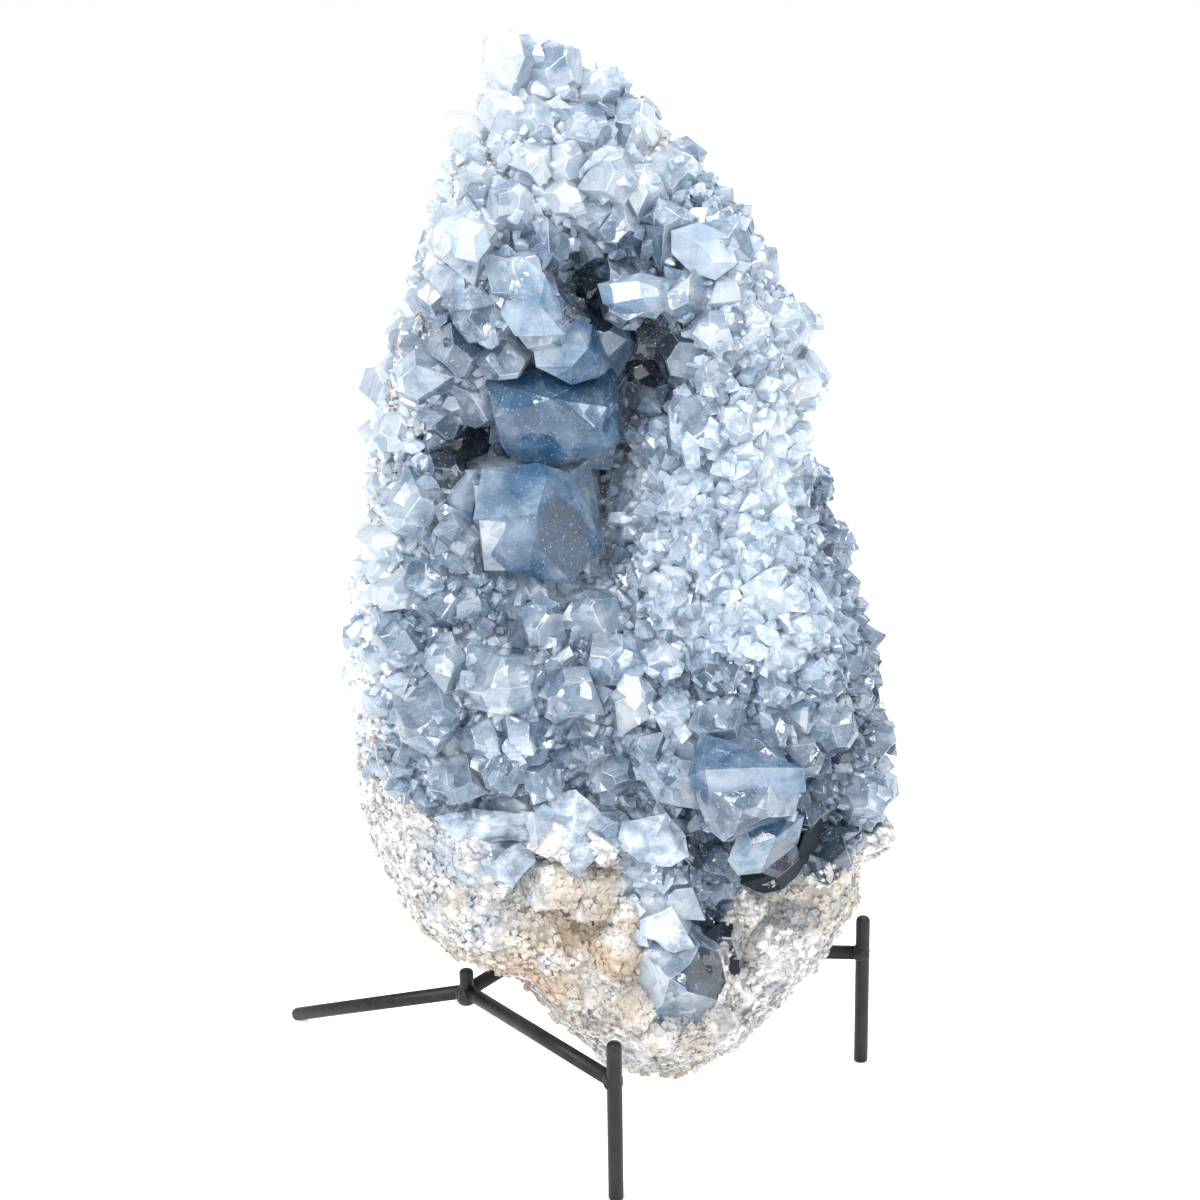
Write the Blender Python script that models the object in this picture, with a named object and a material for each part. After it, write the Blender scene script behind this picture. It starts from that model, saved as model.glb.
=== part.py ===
"""Celestite with its rind in a welded rod stand. Metres, +Z up, origin on the floor under the middle."""

import math
import random

import bmesh
import bpy
from mathutils import Matrix, Vector, noise

# All lengths below are millimetres, measured from the foot of the front post, and MM turns them into metres
MM = 0.001
GAP = 0.3
SEED = 7

# Stand of round rod: the two front posts are upright, and the rear leg slopes back to the left
ROD = 6.0
ROD_SIDES = 10
POST_HEIGHT = 68.0
BAR_HEIGHT = 51.0
PRONG_TOP = 61.0
FRONT_FOOT = Vector((0.0, 0.0, 0.0))
RIGHT_FOOT = Vector((107.4, 114.0, 0.0))
REAR_FOOT = Vector((-141.5, 162.5, 0.0))
LEFT_WELD = Vector((-60.7, 82.3, BAR_HEIGHT))
HIDDEN_WELD = Vector((-30.0, 127.0, BAR_HEIGHT))
WELD_CLEAR = 3.9
HIDDEN_CLEAR = 5.8
LEG_GROUND = 0.4
# Half outlines of a rod's end as (radius, height): a foot with a small flat, and a rounded top
FOOT_END = ((0.0, 0.0), (2.0, 0.0), (2.7, 0.42), (3.0, 1.2))
ROUND_END = ((0.0, 0.0), (1.65, 0.25), (2.61, 0.9), (3.0, 2.1))

# Stone: its outline seen from the front as (x, z), rounded through these points
STONE_MIDDLE = Vector((4.0, 190.0))
RIND_OUTLINE = (
    (-29, 437), (-12, 431), (2, 417), (20, 402), (36, 388), (49, 370), (61, 346), (69, 320), (66, 297),
    (72, 262), (83, 238), (94, 218), (97, 188), (101, 160), (104, 136), (103, 112), (100, 90), (84, 64),
    (61, 36), (40, 20), (19, 14), (-2, 20), (-20, 40), (-33, 60), (-44, 64), (-60, 68), (-78, 85),
    (-91, 107), (-99, 130), (-100, 167), (-96, 209), (-91, 256), (-84, 290), (-77, 329), (-64, 363),
    (-59, 390), (-42, 426),
)
CRUST_OUTLINE = (
    (-31, 440), (-12, 435), (4, 420), (23, 404), (39, 390), (53, 371), (65, 346), (73, 320), (70, 296),
    (76, 262), (87, 238), (98, 216), (101, 188), (105, 160), (106, 138), (98, 121), (74, 114), (55, 106),
    (46, 88), (47, 64), (36, 46), (20, 42), (5, 50), (0, 72), (3, 94), (-6, 116), (-22, 122), (-44, 133),
    (-67, 143), (-86, 150), (-95, 170), (-94, 213), (-88, 258), (-80, 295), (-73, 332), (-60, 364),
    (-52, 390), (-42, 416),
)
OUTLINE_STEPS = 36
CURVE_STEPS = 8
RIND_FRONT_RINGS = (0.0, 0.17, 0.33, 0.48, 0.62, 0.76, 0.88, 0.96)
RIND_BACK_RINGS = (0.97, 0.86, 0.66, 0.4, 0.0)

# Depths along Y: a small Y is near the viewer
SPINE_Y = 72.0
FACE_Y = 40.0
BACK_DEPTH = 66.0
TIP_Z = 446.0
FOOT_Z = 8.0
TIP_TAPER = 150.0
FOOT_TAPER = 105.0
THIN_END = 0.06
RIM_START = 0.8
RIM_POWER = 2.2
BACK_POWER = 2.4
SLOPE_STEP = 6.0
CRUST_THICK = 7.0
BED_SINK = 3.0
BED_EDGE = 1.06
BED_FADE = 0.12
BED_BEHIND = 8.0

# Hollows and swellings of the face: x, z, half width, half height, depth in Y (negative swells forward)
FACE_RELIEF = (
    (-12, 290, 46, 56, 40),
    (18, 318, 20, 30, 14),
    (-50, 290, 14, 14, 12),
    (-2, 362, 16, 22, 16),
    (56, 118, 26, 13, 22),
    (-80, 170, 14, 16, 14),
    (42, 92, 14, 16, 14),
    (66, 225, 40, 56, -12),
    (46, 345, 26, 34, -10),
    (-48, 358, 22, 34, -14),
    (-35, 190, 44, 34, -16),
    (40, 165, 40, 34, -16),
    (-50, 105, 34, 30, -10),
    (20, 62, 40, 34, -14),
)

# Rough skin of the rind
LUMP_SIZE = 34.0
LUMP_HEIGHT = 5.0
CHIP_SIZE = 13.0
CHIP_HEIGHT = 2.4
CHIP_MIDDLE = 0.4

# Large crystals set by hand: x, z, how far the root stands off the bed, width, length,
# lean right, lean up and turn
LARGE_CRYSTALS = (
    (-13, 328, 4, 25, 20, 6, 12, 40),
    (-2, 331, 2, 24, 18, 20, 18, 15),
    (-57, 258, 2, 22, 16, -10, 10, 5),
    (-50, 372, 0, 26, 16, -10, 20, 15),
    (-32, 358, 2, 27, 18, 5, -5, 50),
    (-22, 345, 10, 28, 19, 12, -18, 80),
    (8, 352, 6, 28, 22, 8, -24, 30),
    (43, 366, 2, 25, 17, 6, 22, 10),
    (64, 334, 2, 26, 20, 28, 8, 40),
    (68, 316, 2, 26, 22, 34, -10, 70),
    (94, 230, 2, 21, 20, 34, 18, 25),
    (76, 264, 2, 20, 17, 40, 14, 75),
    (-40, 208, 2, 30, 17, -5, 8, 45),
    (-66, 194, 2, 30, 17, -22, 4, 5),
    (-58, 172, 2, 26, 16, -14, -6, 62),
    (50, 168, 2, 42, 22, 8, -6, 18),
    (96, 152, 2, 26, 18, 30, 0, 48),
    (26, 84, 1, 38, 18, -4, 6, 12),
    (24, 114, 2, 22, 12, -12, 24, 55),
    (-22, 148, 2, 26, 18, -10, 30, 33),
    (-2, 144, 2, 22, 17, 4, 28, 85),
    (-50, 140, 1, 34, 14, -6, 26, 20),
    (-32, 431, 0, 22, 18, -6, 50, 5),
    (-16, 428, 0, 22, 15, 24, 44, 65),
    (-46, 406, 0, 20, 12, -30, 30, 30),
    (-78, 298, 0, 20, 13, -34, 6, 50),
    (-72, 272, 2, 22, 15, -20, -6, 14),
    (-90, 232, 0, 18, 12, -34, 4, 77),
)

# The two largest crystals stand in the hollow: the middle, then each flat face as lean right,
# lean up and distance
HOLLOW_CRYSTALS = (
    ((-19, 63, 307), (
        (-8, -34, 18), (-26, 9, 25), (36, 34, 18.7), (33, 20, 20.8), (26, -26, 24.4), (53, 9, 23.5),
        (0, 72, 15), (-80, 0, 26), (-20, -78, 26), (-60, -50, 28), (85, -10, 26), (180, 0, 20),
    )),
    ((-29.5, 53, 261.5), (
        (-27, 7, 25), (-9, -15, 22), (34, -11, 22.4), (52, 10, 21.5), (-5, 76, 22), (-80, -5, 20.5),
        (0, -72, 19), (45, -55, 24), (82, 10, 26.5), (180, 0, 20),
    )),
)

# Seeded crystals: name, x, z, half width, half height, crystal width from and to, count
CRYSTAL_ZONES = (
    ("tip", -22, 412, 26, 28, 17, 23, 10),
    ("upper left", -48, 364, 26, 42, 17, 24, 8),
    ("upper right", 34, 366, 38, 46, 16, 23, 15),
    ("cavity wall", 4, 306, 50, 44, 13, 19, 8),
    ("left side", -72, 262, 22, 60, 16, 24, 9),
    ("pale slope", 56, 250, 44, 56, 17, 24, 22),
    ("middle", -4, 212, 90, 42, 18, 27, 15),
    ("lower", 20, 156, 84, 36, 18, 27, 16),
    ("bottom hollow", 34, 92, 32, 36, 14, 21, 8),
)
SPACING = 0.58
HOLLOW_SPACE = 3.2
INSIDE_CRUST = 0.99
WAY_LUCK = 0.5
LENGTH_SHARE = (0.5, 0.75)
FLAT_ANGLE = math.radians(1.5)
MAX_TRIES = 400

# Faces of one crystal: the way each looks, and from which to which share of the crystal's size it may lie
NARROWING = (0.7, 1.0)
SIDE_FACE, SIDE_AT = (1.0, 0.8, 0.05), (0.85, 1.0)
END_ROOF, END_ROOF_AT = (0.72, 0.0, 0.69), (0.7, 0.9)
SIDE_ROOF, SIDE_ROOF_AT = (0.0, 0.74, 0.67), (0.62, 0.86)
EDGE_TRIM, EDGE_TRIM_AT = (1.0, 0.0, 0.0), (0.85, 1.0)
TIP_TRIM, TIP_TRIM_AT = (0.3, 0.3, 0.9), (0.86, 0.98)
ROOT_DEPTH = 0.5
BLOCK = 200.0

# Colours and roughness of the three finishes
ROD_COLOUR, ROD_ROUGHNESS, ROD_METAL = (0.03, 0.032, 0.036), 0.45, 0.6
RIND_COLOUR, RIND_ROUGHNESS = (0.82, 0.78, 0.72), 0.9
CRYSTAL_COLOUR, CRYSTAL_ROUGHNESS, CRYSTAL_CLEAR, CRYSTAL_IOR = (0.55, 0.7, 0.86), 0.1, 0.8, 1.62


def smooth_loop(points, count):
    """A closed curve through the points, read at even steps of its length."""
    dense = []
    size = len(points)
    for i in range(size):
        p0, p1, p2, p3 = (Vector(points[(i + k) % size]) for k in (-1, 0, 1, 2))
        for step in range(CURVE_STEPS):
            t = step / CURVE_STEPS
            curve = 2 * p1 + (p2 - p0) * t + (2 * p0 - 5 * p1 + 4 * p2 - p3) * t**2
            dense.append((curve + (3 * p1 - p0 - 3 * p2 + p3) * t**3) / 2)
    lengths = [0.0]
    for a, b in zip(dense, dense[1:] + dense[:1]):
        lengths.append(lengths[-1] + (b - a).length)
    loop = []
    index = 0
    for k in range(count):
        want = lengths[-1] * k / count
        while lengths[index + 1] < want:
            index += 1
        share = (want - lengths[index]) / (lengths[index + 1] - lengths[index])
        loop.append(dense[index].lerp(dense[(index + 1) % len(dense)], share))
    return loop


def reach(loop, point):
    """How far out a point lies: 0 at the stone's middle, 1 on the loop."""
    away = Vector(point) - STONE_MIDDLE
    if away.length < 1e-6:
        return 0.0
    for a, b in zip(loop, loop[1:] + loop[:1]):
        edge = b - a
        spread = away.x * edge.y - away.y * edge.x
        if abs(spread) < 1e-9:
            continue
        start = a - STONE_MIDDLE
        along = (start.x * edge.y - start.y * edge.x) / spread
        side = (start.x * away.y - start.y * away.x) / spread
        if along > 0 and 0 <= side <= 1:
            return 1 / along
    return 1.0


def taper(z):
    """Share of the full depth left near the tip and near the lowest point."""
    top = min(1.0, max(THIN_END, (TIP_Z - z) / TIP_TAPER))
    foot = min(1.0, max(THIN_END, (z - FOOT_Z) / FOOT_TAPER))
    return math.sqrt(top * (2 - top)) * math.sqrt(foot * (2 - foot))


def face_y(x, z, out):
    """Y of the rind's front under the crystals, at (x, z) with reach out."""
    depth = (SPINE_Y - FACE_Y) * taper(z)
    y = SPINE_Y - depth
    for cx, cz, half_x, half_z, deep in FACE_RELIEF:
        y += deep * math.exp(-(((x - cx) / half_x) ** 2) - ((z - cz) / half_z) ** 2)
    rim = max(0.0, (out - RIM_START) / (1 - RIM_START))
    return y + (SPINE_Y - y) * rim**RIM_POWER


def back_y(z, out):
    """Y of the rind's back at height z with reach out."""
    return SPINE_Y + BACK_DEPTH * taper(z) * math.sqrt(max(0.0, 1 - out**BACK_POWER))


def skin(point):
    """Height of the rind's lumps and chips at a point."""
    lump = noise.noise(point / LUMP_SIZE) * LUMP_HEIGHT
    cell = noise.voronoi(point / CHIP_SIZE)[0]
    return lump + (cell[1] - cell[0] - CHIP_MIDDLE) * CHIP_HEIGHT


def loft(rings):
    """A closed bmesh through rings of equal count, each end closed by a fan to its middle point."""
    bm = bmesh.new()
    loops = []
    for ring in rings[1:-1]:
        loops.append([bm.verts.new(p) for p in ring])
    for lower, upper in zip(loops, loops[1:]):
        for i in range(len(lower)):
            k = (i + 1) % len(lower)
            bm.faces.new((lower[i], lower[k], upper[k], upper[i]))
    for end, ring in ((rings[0], loops[0]), (rings[-1], loops[-1])):
        tip = bm.verts.new(end[0])
        for i in range(len(ring)):
            bm.faces.new((ring[i], ring[(i + 1) % len(ring)], tip))
    bmesh.ops.recalc_face_normals(bm, faces=bm.faces)
    bmesh.ops.triangulate(bm, faces=bm.faces)
    return bm


def ring_at(loop, out, depth):
    """Points of the loop drawn in by out, with their Y from depth(x, z)."""
    ring = []
    for p in loop:
        x, z = STONE_MIDDLE.lerp(p, out)
        ring.append(Vector((x, depth(x, z), z)))
    return ring


def to_object(name, bm, material):
    """Turns a bmesh in millimetres into an object in metres."""
    bmesh.ops.scale(bm, vec=(MM, MM, MM), verts=bm.verts)
    mesh = bpy.data.meshes.new(name)
    bm.to_mesh(mesh)
    bm.free()
    mesh.materials.append(material)
    thing = bpy.data.objects.new(name, mesh)
    bpy.context.collection.objects.link(thing)
    return thing


def finish(name, colour, roughness, metallic=0.0, transmission=0.0, ior=1.5):
    """A plain Principled material."""
    material = bpy.data.materials.new(name)
    material.use_nodes = True
    shader = material.node_tree.nodes["Principled BSDF"]
    shader.inputs["Base Color"].default_value = (*colour, 1.0)
    shader.inputs["Roughness"].default_value = roughness
    shader.inputs["Metallic"].default_value = metallic
    shader.inputs["Transmission Weight"].default_value = transmission
    shader.inputs["IOR"].default_value = ior
    return material


def cut(target, cutter, operation="DIFFERENCE"):
    """Applies one Boolean with a helper object or collection, and leaves the result in the target's mesh."""
    modifier = target.modifiers.new(operation.lower(), "BOOLEAN")
    modifier.operation = operation
    if isinstance(cutter, bpy.types.Collection):
        modifier.operand_type = "COLLECTION"
        modifier.collection = cutter
    else:
        modifier.object = cutter
    bpy.context.view_layer.update()
    result = bpy.data.meshes.new_from_object(target.evaluated_get(bpy.context.evaluated_depsgraph_get()))
    target.modifiers.remove(modifier)
    target.data = result


def island(start):
    """Every vertex joined to this one by edges."""
    found = {start}
    waiting = [start]
    while waiting:
        vert = waiting.pop()
        for edge in vert.link_edges:
            other = edge.other_vert(vert)
            if other not in found:
                found.add(other)
                waiting.append(other)
    return found


def signed_volume(verts):
    """Volume inside an island of faces, negative where they face inward."""
    faces = {face for vert in verts for face in vert.link_faces}
    total = 0.0
    for face in faces:
        corners = [v.co for v in face.verts]
        for b, c in zip(corners[1:], corners[2:]):
            total += corners[0].cross(b).dot(c) / 6
    return total


def keep_largest(thing):
    """Leaves one closed body: loose chips and sealed gaps between crystals go."""
    bm = bmesh.new()
    bm.from_mesh(thing.data)
    left = set(bm.verts)
    islands = []
    while left:
        found = island(next(iter(left)))
        left -= found
        islands.append(found)
    best = max(islands, key=signed_volume)
    bmesh.ops.delete(bm, geom=[v for v in bm.verts if v not in best], context="VERTS")
    bm.to_mesh(thing.data)
    bm.free()


def merge_flats(thing):
    """Joins faces that lie in one plane, which a Boolean leaves in pieces."""
    bm = bmesh.new()
    bm.from_mesh(thing.data)
    bmesh.ops.dissolve_limit(bm, angle_limit=FLAT_ANGLE, verts=bm.verts, edges=bm.edges)
    bmesh.ops.triangulate(bm, faces=bm.faces)
    bm.to_mesh(thing.data)
    bm.free()


def rod_profile(length, radius, start, end):
    """Half outline of a rod as (radius, height), with each end square, round or a foot with a flat."""
    ends = {
        "square": ((0.0, 0.0), (radius, 0.0)),
        "foot": FOOT_END,
        "round": ROUND_END,
    }
    lower = list(ends[start])
    upper = [(r, length - h) for r, h in ends[end]]
    return lower + upper[::-1]


def rod_bmesh(start, end, radius, start_shape="square", end_shape="square"):
    """A round rod between two points."""
    bm = bmesh.new()
    profile = rod_profile((end - start).length, radius, start_shape, end_shape)
    line = [bm.verts.new((r, 0.0, h)) for r, h in profile]
    edges = [bm.edges.new(pair) for pair in zip(line, line[1:])]
    bmesh.ops.spin(bm, geom=line + edges, axis=(0, 0, 1), cent=(0, 0, 0), angle=math.tau, steps=ROD_SIDES)
    bmesh.ops.remove_doubles(bm, verts=bm.verts, dist=0.001)
    bmesh.ops.recalc_face_normals(bm, faces=bm.faces)
    turn = (end - start).to_track_quat("Z", "Y").to_matrix().to_4x4()
    bmesh.ops.transform(bm, matrix=Matrix.Translation(start) @ turn, verts=bm.verts)
    return bm


def stand_rods():
    """Each rod of the stand: name, start, end and the shape of its ends."""
    radius = ROD / 2
    up = Vector((0, 0, 1))
    weld_floor = Vector((LEFT_WELD.x, LEFT_WELD.y, BAR_HEIGHT - radius))
    front_joint = FRONT_FOOT + up * BAR_HEIGHT
    right_joint = RIGHT_FOOT + up * BAR_HEIGHT
    prong_top = weld_floor + up * (PRONG_TOP - BAR_HEIGHT + radius)
    left_way = (LEFT_WELD - front_joint).normalized()
    rear_way = (HIDDEN_WELD - LEFT_WELD).normalized()
    right_way = (HIDDEN_WELD - right_joint).normalized()
    foot_centre = REAR_FOOT + up * (radius - LEG_GROUND)
    leg_way = (foot_centre - LEFT_WELD).normalized()
    post_clear = radius + GAP
    plain = ("square", "square")
    return (
        ("front_post", FRONT_FOOT, FRONT_FOOT + up * POST_HEIGHT, "foot", "round"),
        ("right_post", RIGHT_FOOT, RIGHT_FOOT + up * POST_HEIGHT, "foot", "round"),
        ("rear_prong", weld_floor, prong_top, "square", "round"),
        ("left_bar", front_joint + left_way * post_clear, LEFT_WELD - left_way * WELD_CLEAR, *plain),
        ("rear_bar", LEFT_WELD + rear_way * WELD_CLEAR, HIDDEN_WELD - rear_way * HIDDEN_CLEAR, *plain),
        ("right_bar", right_joint + right_way * post_clear, HIDDEN_WELD + right_way * radius, *plain),
        ("rear_leg", LEFT_WELD + leg_way * WELD_CLEAR, foot_centre + leg_way * radius, "square", "round"),
    )


def build_stand(material):
    """The rods as objects, with a flat ground under the rear leg."""
    rods = []
    for name, start, end, start_shape, end_shape in stand_rods():
        bm = rod_bmesh(start, end, ROD / 2, start_shape, end_shape)
        if name == "rear_leg":
            floor = dict(plane_co=(0, 0, 0), plane_no=(0, 0, -1), clear_outer=True)
            bmesh.ops.bisect_plane(bm, geom=bm.verts[:] + bm.edges[:] + bm.faces[:], dist=0.0001, **floor)
            bmesh.ops.holes_fill(bm, edges=bm.edges)
            bmesh.ops.recalc_face_normals(bm, faces=bm.faces)
        rods.append(to_object(name, bm, material))
    return rods


def build_rod_cutters(material):
    """Fatter copies of the rods, which leave the stone clear of the stand."""
    cutters = bpy.data.collections.new("rod_cutters")
    bpy.context.scene.collection.children.link(cutters)
    for name, start, end, *_ in stand_rods():
        way = (end - start).normalized() * (ROD / 2 + GAP)
        bm = rod_bmesh(start - way, end + way, ROD / 2 + GAP)
        cutter = to_object(name + "_cutter", bm, material)
        bpy.context.collection.objects.unlink(cutter)
        cutters.objects.link(cutter)
    return cutters


def rind_bmesh(loop, grow=0.0):
    """The rind: a rough lump with a hollowed face, its skin pushed out by grow."""
    rings = []
    for out in RIND_FRONT_RINGS:
        rings.append(ring_at(loop, out, lambda x, z, out=out: face_y(x, z, out)))
    rings.append(ring_at(loop, 1.0, lambda x, z: SPINE_Y))
    for out in RIND_BACK_RINGS:
        rings.append(ring_at(loop, out, lambda x, z, out=out: back_y(z, out)))
    bm = loft(rings)
    bm.normal_update()
    moves = [(v, v.normal * skin(v.co)) for v in bm.verts]
    for vert, move in moves:
        vert.co += move
    push_out(bm, grow)
    return bm


def push_out(bm, distance):
    """Moves the skin of a body out along its normals."""
    bm.normal_update()
    moves = [(v, v.normal * distance * v.calc_shell_factor()) for v in bm.verts]
    for vert, move in moves:
        vert.co += move


def crust_bed_bmesh(rind_loop, crust_loop):
    """The rind drawn in, with its face pushed forward where crystals cover it: the roots of the crust."""
    bm = rind_bmesh(rind_loop, -BED_SINK)
    bm.normal_update()
    moves = []
    for vert in bm.verts:
        if vert.co.y > SPINE_Y + BED_BEHIND:
            continue
        edge = reach(crust_loop, (vert.co.x, vert.co.z))
        cover = min(1.0, max(0.0, (BED_EDGE - edge) / BED_FADE))
        moves.append((vert, vert.normal * (CRUST_THICK + BED_SINK) * cover))
    for vert, move in moves:
        vert.co += move
    return bm


def slice_off(bm, normal, distance):
    """Cuts the bmesh with a plane at a distance from its middle, and closes the cut with a flat face."""
    normal = Vector(normal).normalized()
    everything = bm.verts[:] + bm.edges[:] + bm.faces[:]
    plane = dict(plane_co=normal * distance, plane_no=normal, clear_outer=True)
    done = bmesh.ops.bisect_plane(bm, geom=everything, dist=0.0001, **plane)
    rim = [e for e in done["geom_cut"] if isinstance(e, bmesh.types.BMEdge)]
    if rim:
        bmesh.ops.contextual_create(bm, geom=rim)


def crystal_bmesh(chance, width, length, trimmed=False):
    """One crystal: a four-sided prism with two pairs of sloping faces, its edges trimmed on the largest."""
    (side_x, side_y, side_z), (end_x, end_y, end_z) = SIDE_FACE, END_ROOF
    (roof_x, roof_y, roof_z), (tip_x, tip_y, tip_z) = SIDE_ROOF, TIP_TRIM
    edge_x, edge_y, edge_z = EDGE_TRIM
    bm = bmesh.new()
    bmesh.ops.create_cube(bm, size=1.0)
    bmesh.ops.scale(bm, vec=(width * 2, width * 2, length * 2), verts=bm.verts)
    half = width / 2
    narrow = chance.uniform(*NARROWING)
    for side in (-1, 1):
        for other in (-1, 1):
            slice_off(bm, (side * side_x, other * side_y, side_z), half * narrow * chance.uniform(*SIDE_AT))
        slice_off(bm, (side * end_x, end_y, end_z), length * chance.uniform(*END_ROOF_AT))
        slice_off(bm, (roof_x, side * roof_y, roof_z), length * chance.uniform(*SIDE_ROOF_AT))
        if trimmed:
            slice_off(bm, (side * edge_x, edge_y, edge_z), half * chance.uniform(*EDGE_TRIM_AT))
            slice_off(bm, (side * tip_x, side * tip_y, tip_z), length * chance.uniform(*TIP_TRIM_AT))
    slice_off(bm, (0, 0, -1), min(length, width) * ROOT_DEPTH)
    return bm


def place_crystal(bm, root, way, turn):
    """Stands a crystal on its root, pointing along way and turned about itself."""
    aim = way.to_track_quat("Z", "Y").to_matrix().to_4x4()
    spin = Matrix.Rotation(math.radians(turn), 4, "Z")
    bmesh.ops.transform(bm, matrix=Matrix.Translation(root) @ aim @ spin, verts=bm.verts)


def face_way(x, z, rind_loop):
    """The direction that the face looks in at (x, z)."""

    def at(px, pz):
        return face_y(px, pz, reach(rind_loop, (px, pz)))

    slope_x = (at(x + SLOPE_STEP, z) - at(x - SLOPE_STEP, z)) / (2 * SLOPE_STEP)
    slope_z = (at(x, z + SLOPE_STEP) - at(x, z - SLOPE_STEP)) / (2 * SLOPE_STEP)
    return Vector((slope_x, -1.0, slope_z)).normalized()


def bed_y(x, z, rind_loop):
    """Y of the crust's bed at (x, z)."""
    return face_y(x, z, reach(rind_loop, (x, z))) - CRUST_THICK


def large_crystals(chance, rind_loop):
    """The crystals that were set by hand, as bmeshes in place."""
    shapes = []
    for x, z, stand_off, width, length, right, up, turn in LARGE_CRYSTALS:
        y = bed_y(x, z, rind_loop) - stand_off
        way = Vector((math.tan(math.radians(right)), -1.0, math.tan(math.radians(up)))).normalized()
        bm = crystal_bmesh(chance, width, length, trimmed=True)
        place_crystal(bm, Vector((x, y, z)), way, turn)
        shapes.append(bm)
    return shapes


def hollow_crystals():
    """The two largest crystals, each cut from a block by its own flat faces."""
    shapes = []
    for (x, y, z), faces in HOLLOW_CRYSTALS:
        bm = bmesh.new()
        bmesh.ops.create_cube(bm, size=BLOCK)
        for right, up, distance in faces:
            right = math.radians(right)
            up = math.radians(up)
            level = math.cos(up)
            slice_off(bm, (math.sin(right) * level, -math.cos(right) * level, math.sin(up)), distance)
        bmesh.ops.translate(bm, vec=(x, y, z), verts=bm.verts)
        shapes.append(bm)
    return shapes


def seeded_crystals(chance, crust_loop, rind_loop):
    """Crystals scattered over each zone of the face, kept apart by their own widths."""
    taken = [(x, z, width) for x, z, _, width, *_ in LARGE_CRYSTALS]
    taken += [(x, z, HOLLOW_SPACE * faces[0][2]) for (x, _, z), faces in HOLLOW_CRYSTALS]
    shapes = []
    for _, cx, cz, half_x, half_z, least, most, count in CRYSTAL_ZONES:
        placed = 0
        for _ in range(MAX_TRIES):
            x = cx + chance.uniform(-1, 1) * half_x
            z = cz + chance.uniform(-1, 1) * half_z
            width = chance.uniform(least, most)
            if reach(crust_loop, (x, z)) > INSIDE_CRUST:
                continue
            if any(math.hypot(x - tx, z - tz) < (width + wide) / 2 * SPACING for tx, tz, wide in taken):
                continue
            taken.append((x, z, width))
            way = face_way(x, z, rind_loop)
            astray = Vector([chance.uniform(-WAY_LUCK, WAY_LUCK) for _ in range(3)])
            way = (way + astray).normalized()
            length = width * chance.uniform(*LENGTH_SHARE)
            root = Vector((x, bed_y(x, z, rind_loop), z))
            bm = crystal_bmesh(chance, width, length)
            place_crystal(bm, root, way, chance.uniform(0, 180))
            shapes.append(bm)
            placed += 1
            if placed == count:
                break
    return shapes


def build_stone(rind_finish, crystal_finish, rods):
    """The rind and the crust of crystals on it."""
    rind_loop = smooth_loop(RIND_OUTLINE, OUTLINE_STEPS)
    crust_loop = smooth_loop(CRUST_OUTLINE, OUTLINE_STEPS)
    chance = random.Random(SEED)
    rind = to_object("matrix_rind", rind_bmesh(rind_loop), rind_finish)
    cut(rind, rods)
    grown = to_object("rind_cutter", rind_bmesh(rind_loop, GAP), rind_finish)
    heap = bpy.data.collections.new("crystal_heap")
    bpy.context.scene.collection.children.link(heap)
    shapes = hollow_crystals() + large_crystals(chance, rind_loop)
    shapes += seeded_crystals(chance, crust_loop, rind_loop)
    for number, bm in enumerate(shapes):
        piece = to_object(f"crystal_{number}", bm, crystal_finish)
        bpy.context.collection.objects.unlink(piece)
        heap.objects.link(piece)
    crust = to_object("crystal_crust", crust_bed_bmesh(rind_loop, crust_loop), crystal_finish)
    cut(crust, heap, "UNION")
    merge_flats(crust)
    cut(crust, grown)
    cut(crust, rods)
    keep_largest(crust)
    for helper in (*heap.objects, grown):
        bpy.data.objects.remove(helper)
    bpy.data.collections.remove(heap)
    return [rind, crust]


def set_on_floor(things):
    """Moves everything so that the origin is on the floor under the middle of the bounding box."""
    corners = [thing.matrix_world @ Vector(c) for thing in things for c in thing.bound_box]
    low = Vector([min(c[i] for c in corners) for i in range(3)])
    high = Vector([max(c[i] for c in corners) for i in range(3)])
    middle = Vector(((low.x + high.x) / 2, (low.y + high.y) / 2, low.z))
    for thing in things:
        thing.data.transform(Matrix.Translation(-middle))
    print("origin", [round(v, 6) for v in middle], "size", [round(v, 6) for v in high - low])


def main():
    """Builds the stand and the stone."""
    for old in list(bpy.data.objects):
        bpy.data.objects.remove(old)
    black = finish("black_rod", ROD_COLOUR, ROD_ROUGHNESS, metallic=ROD_METAL)
    rind_finish = finish("rind", RIND_COLOUR, RIND_ROUGHNESS)
    crystal_finish = finish("celestite", CRYSTAL_COLOUR, CRYSTAL_ROUGHNESS, 0.0, CRYSTAL_CLEAR, CRYSTAL_IOR)
    stand = build_stand(black)
    rods = build_rod_cutters(black)
    stone = build_stone(rind_finish, crystal_finish, rods)
    for helper in list(rods.objects):
        bpy.data.objects.remove(helper)
    bpy.data.collections.remove(rods)
    set_on_floor(stand + stone)
    for thing in stand + stone:
        print(thing.name, "triangles", sum(len(p.vertices) - 2 for p in thing.data.polygons))


main()
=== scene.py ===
# %% [markdown]
# # Celestite on a rod stand
# A tall piece of a geode: pale blue celestite crystals line the hollowed face, a white sugary rind
# holds them, and three black rods on feet carry the stone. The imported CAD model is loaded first.
# It fixes every size and place, and the script then dresses it with fine crystals and finishes.

# %% Load the frame
import bpy
import bmesh
import itertools
import math
import random
import numpy as np
from mathutils import Matrix, Vector, noise
from mathutils.bvhtree import BVHTree


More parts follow.
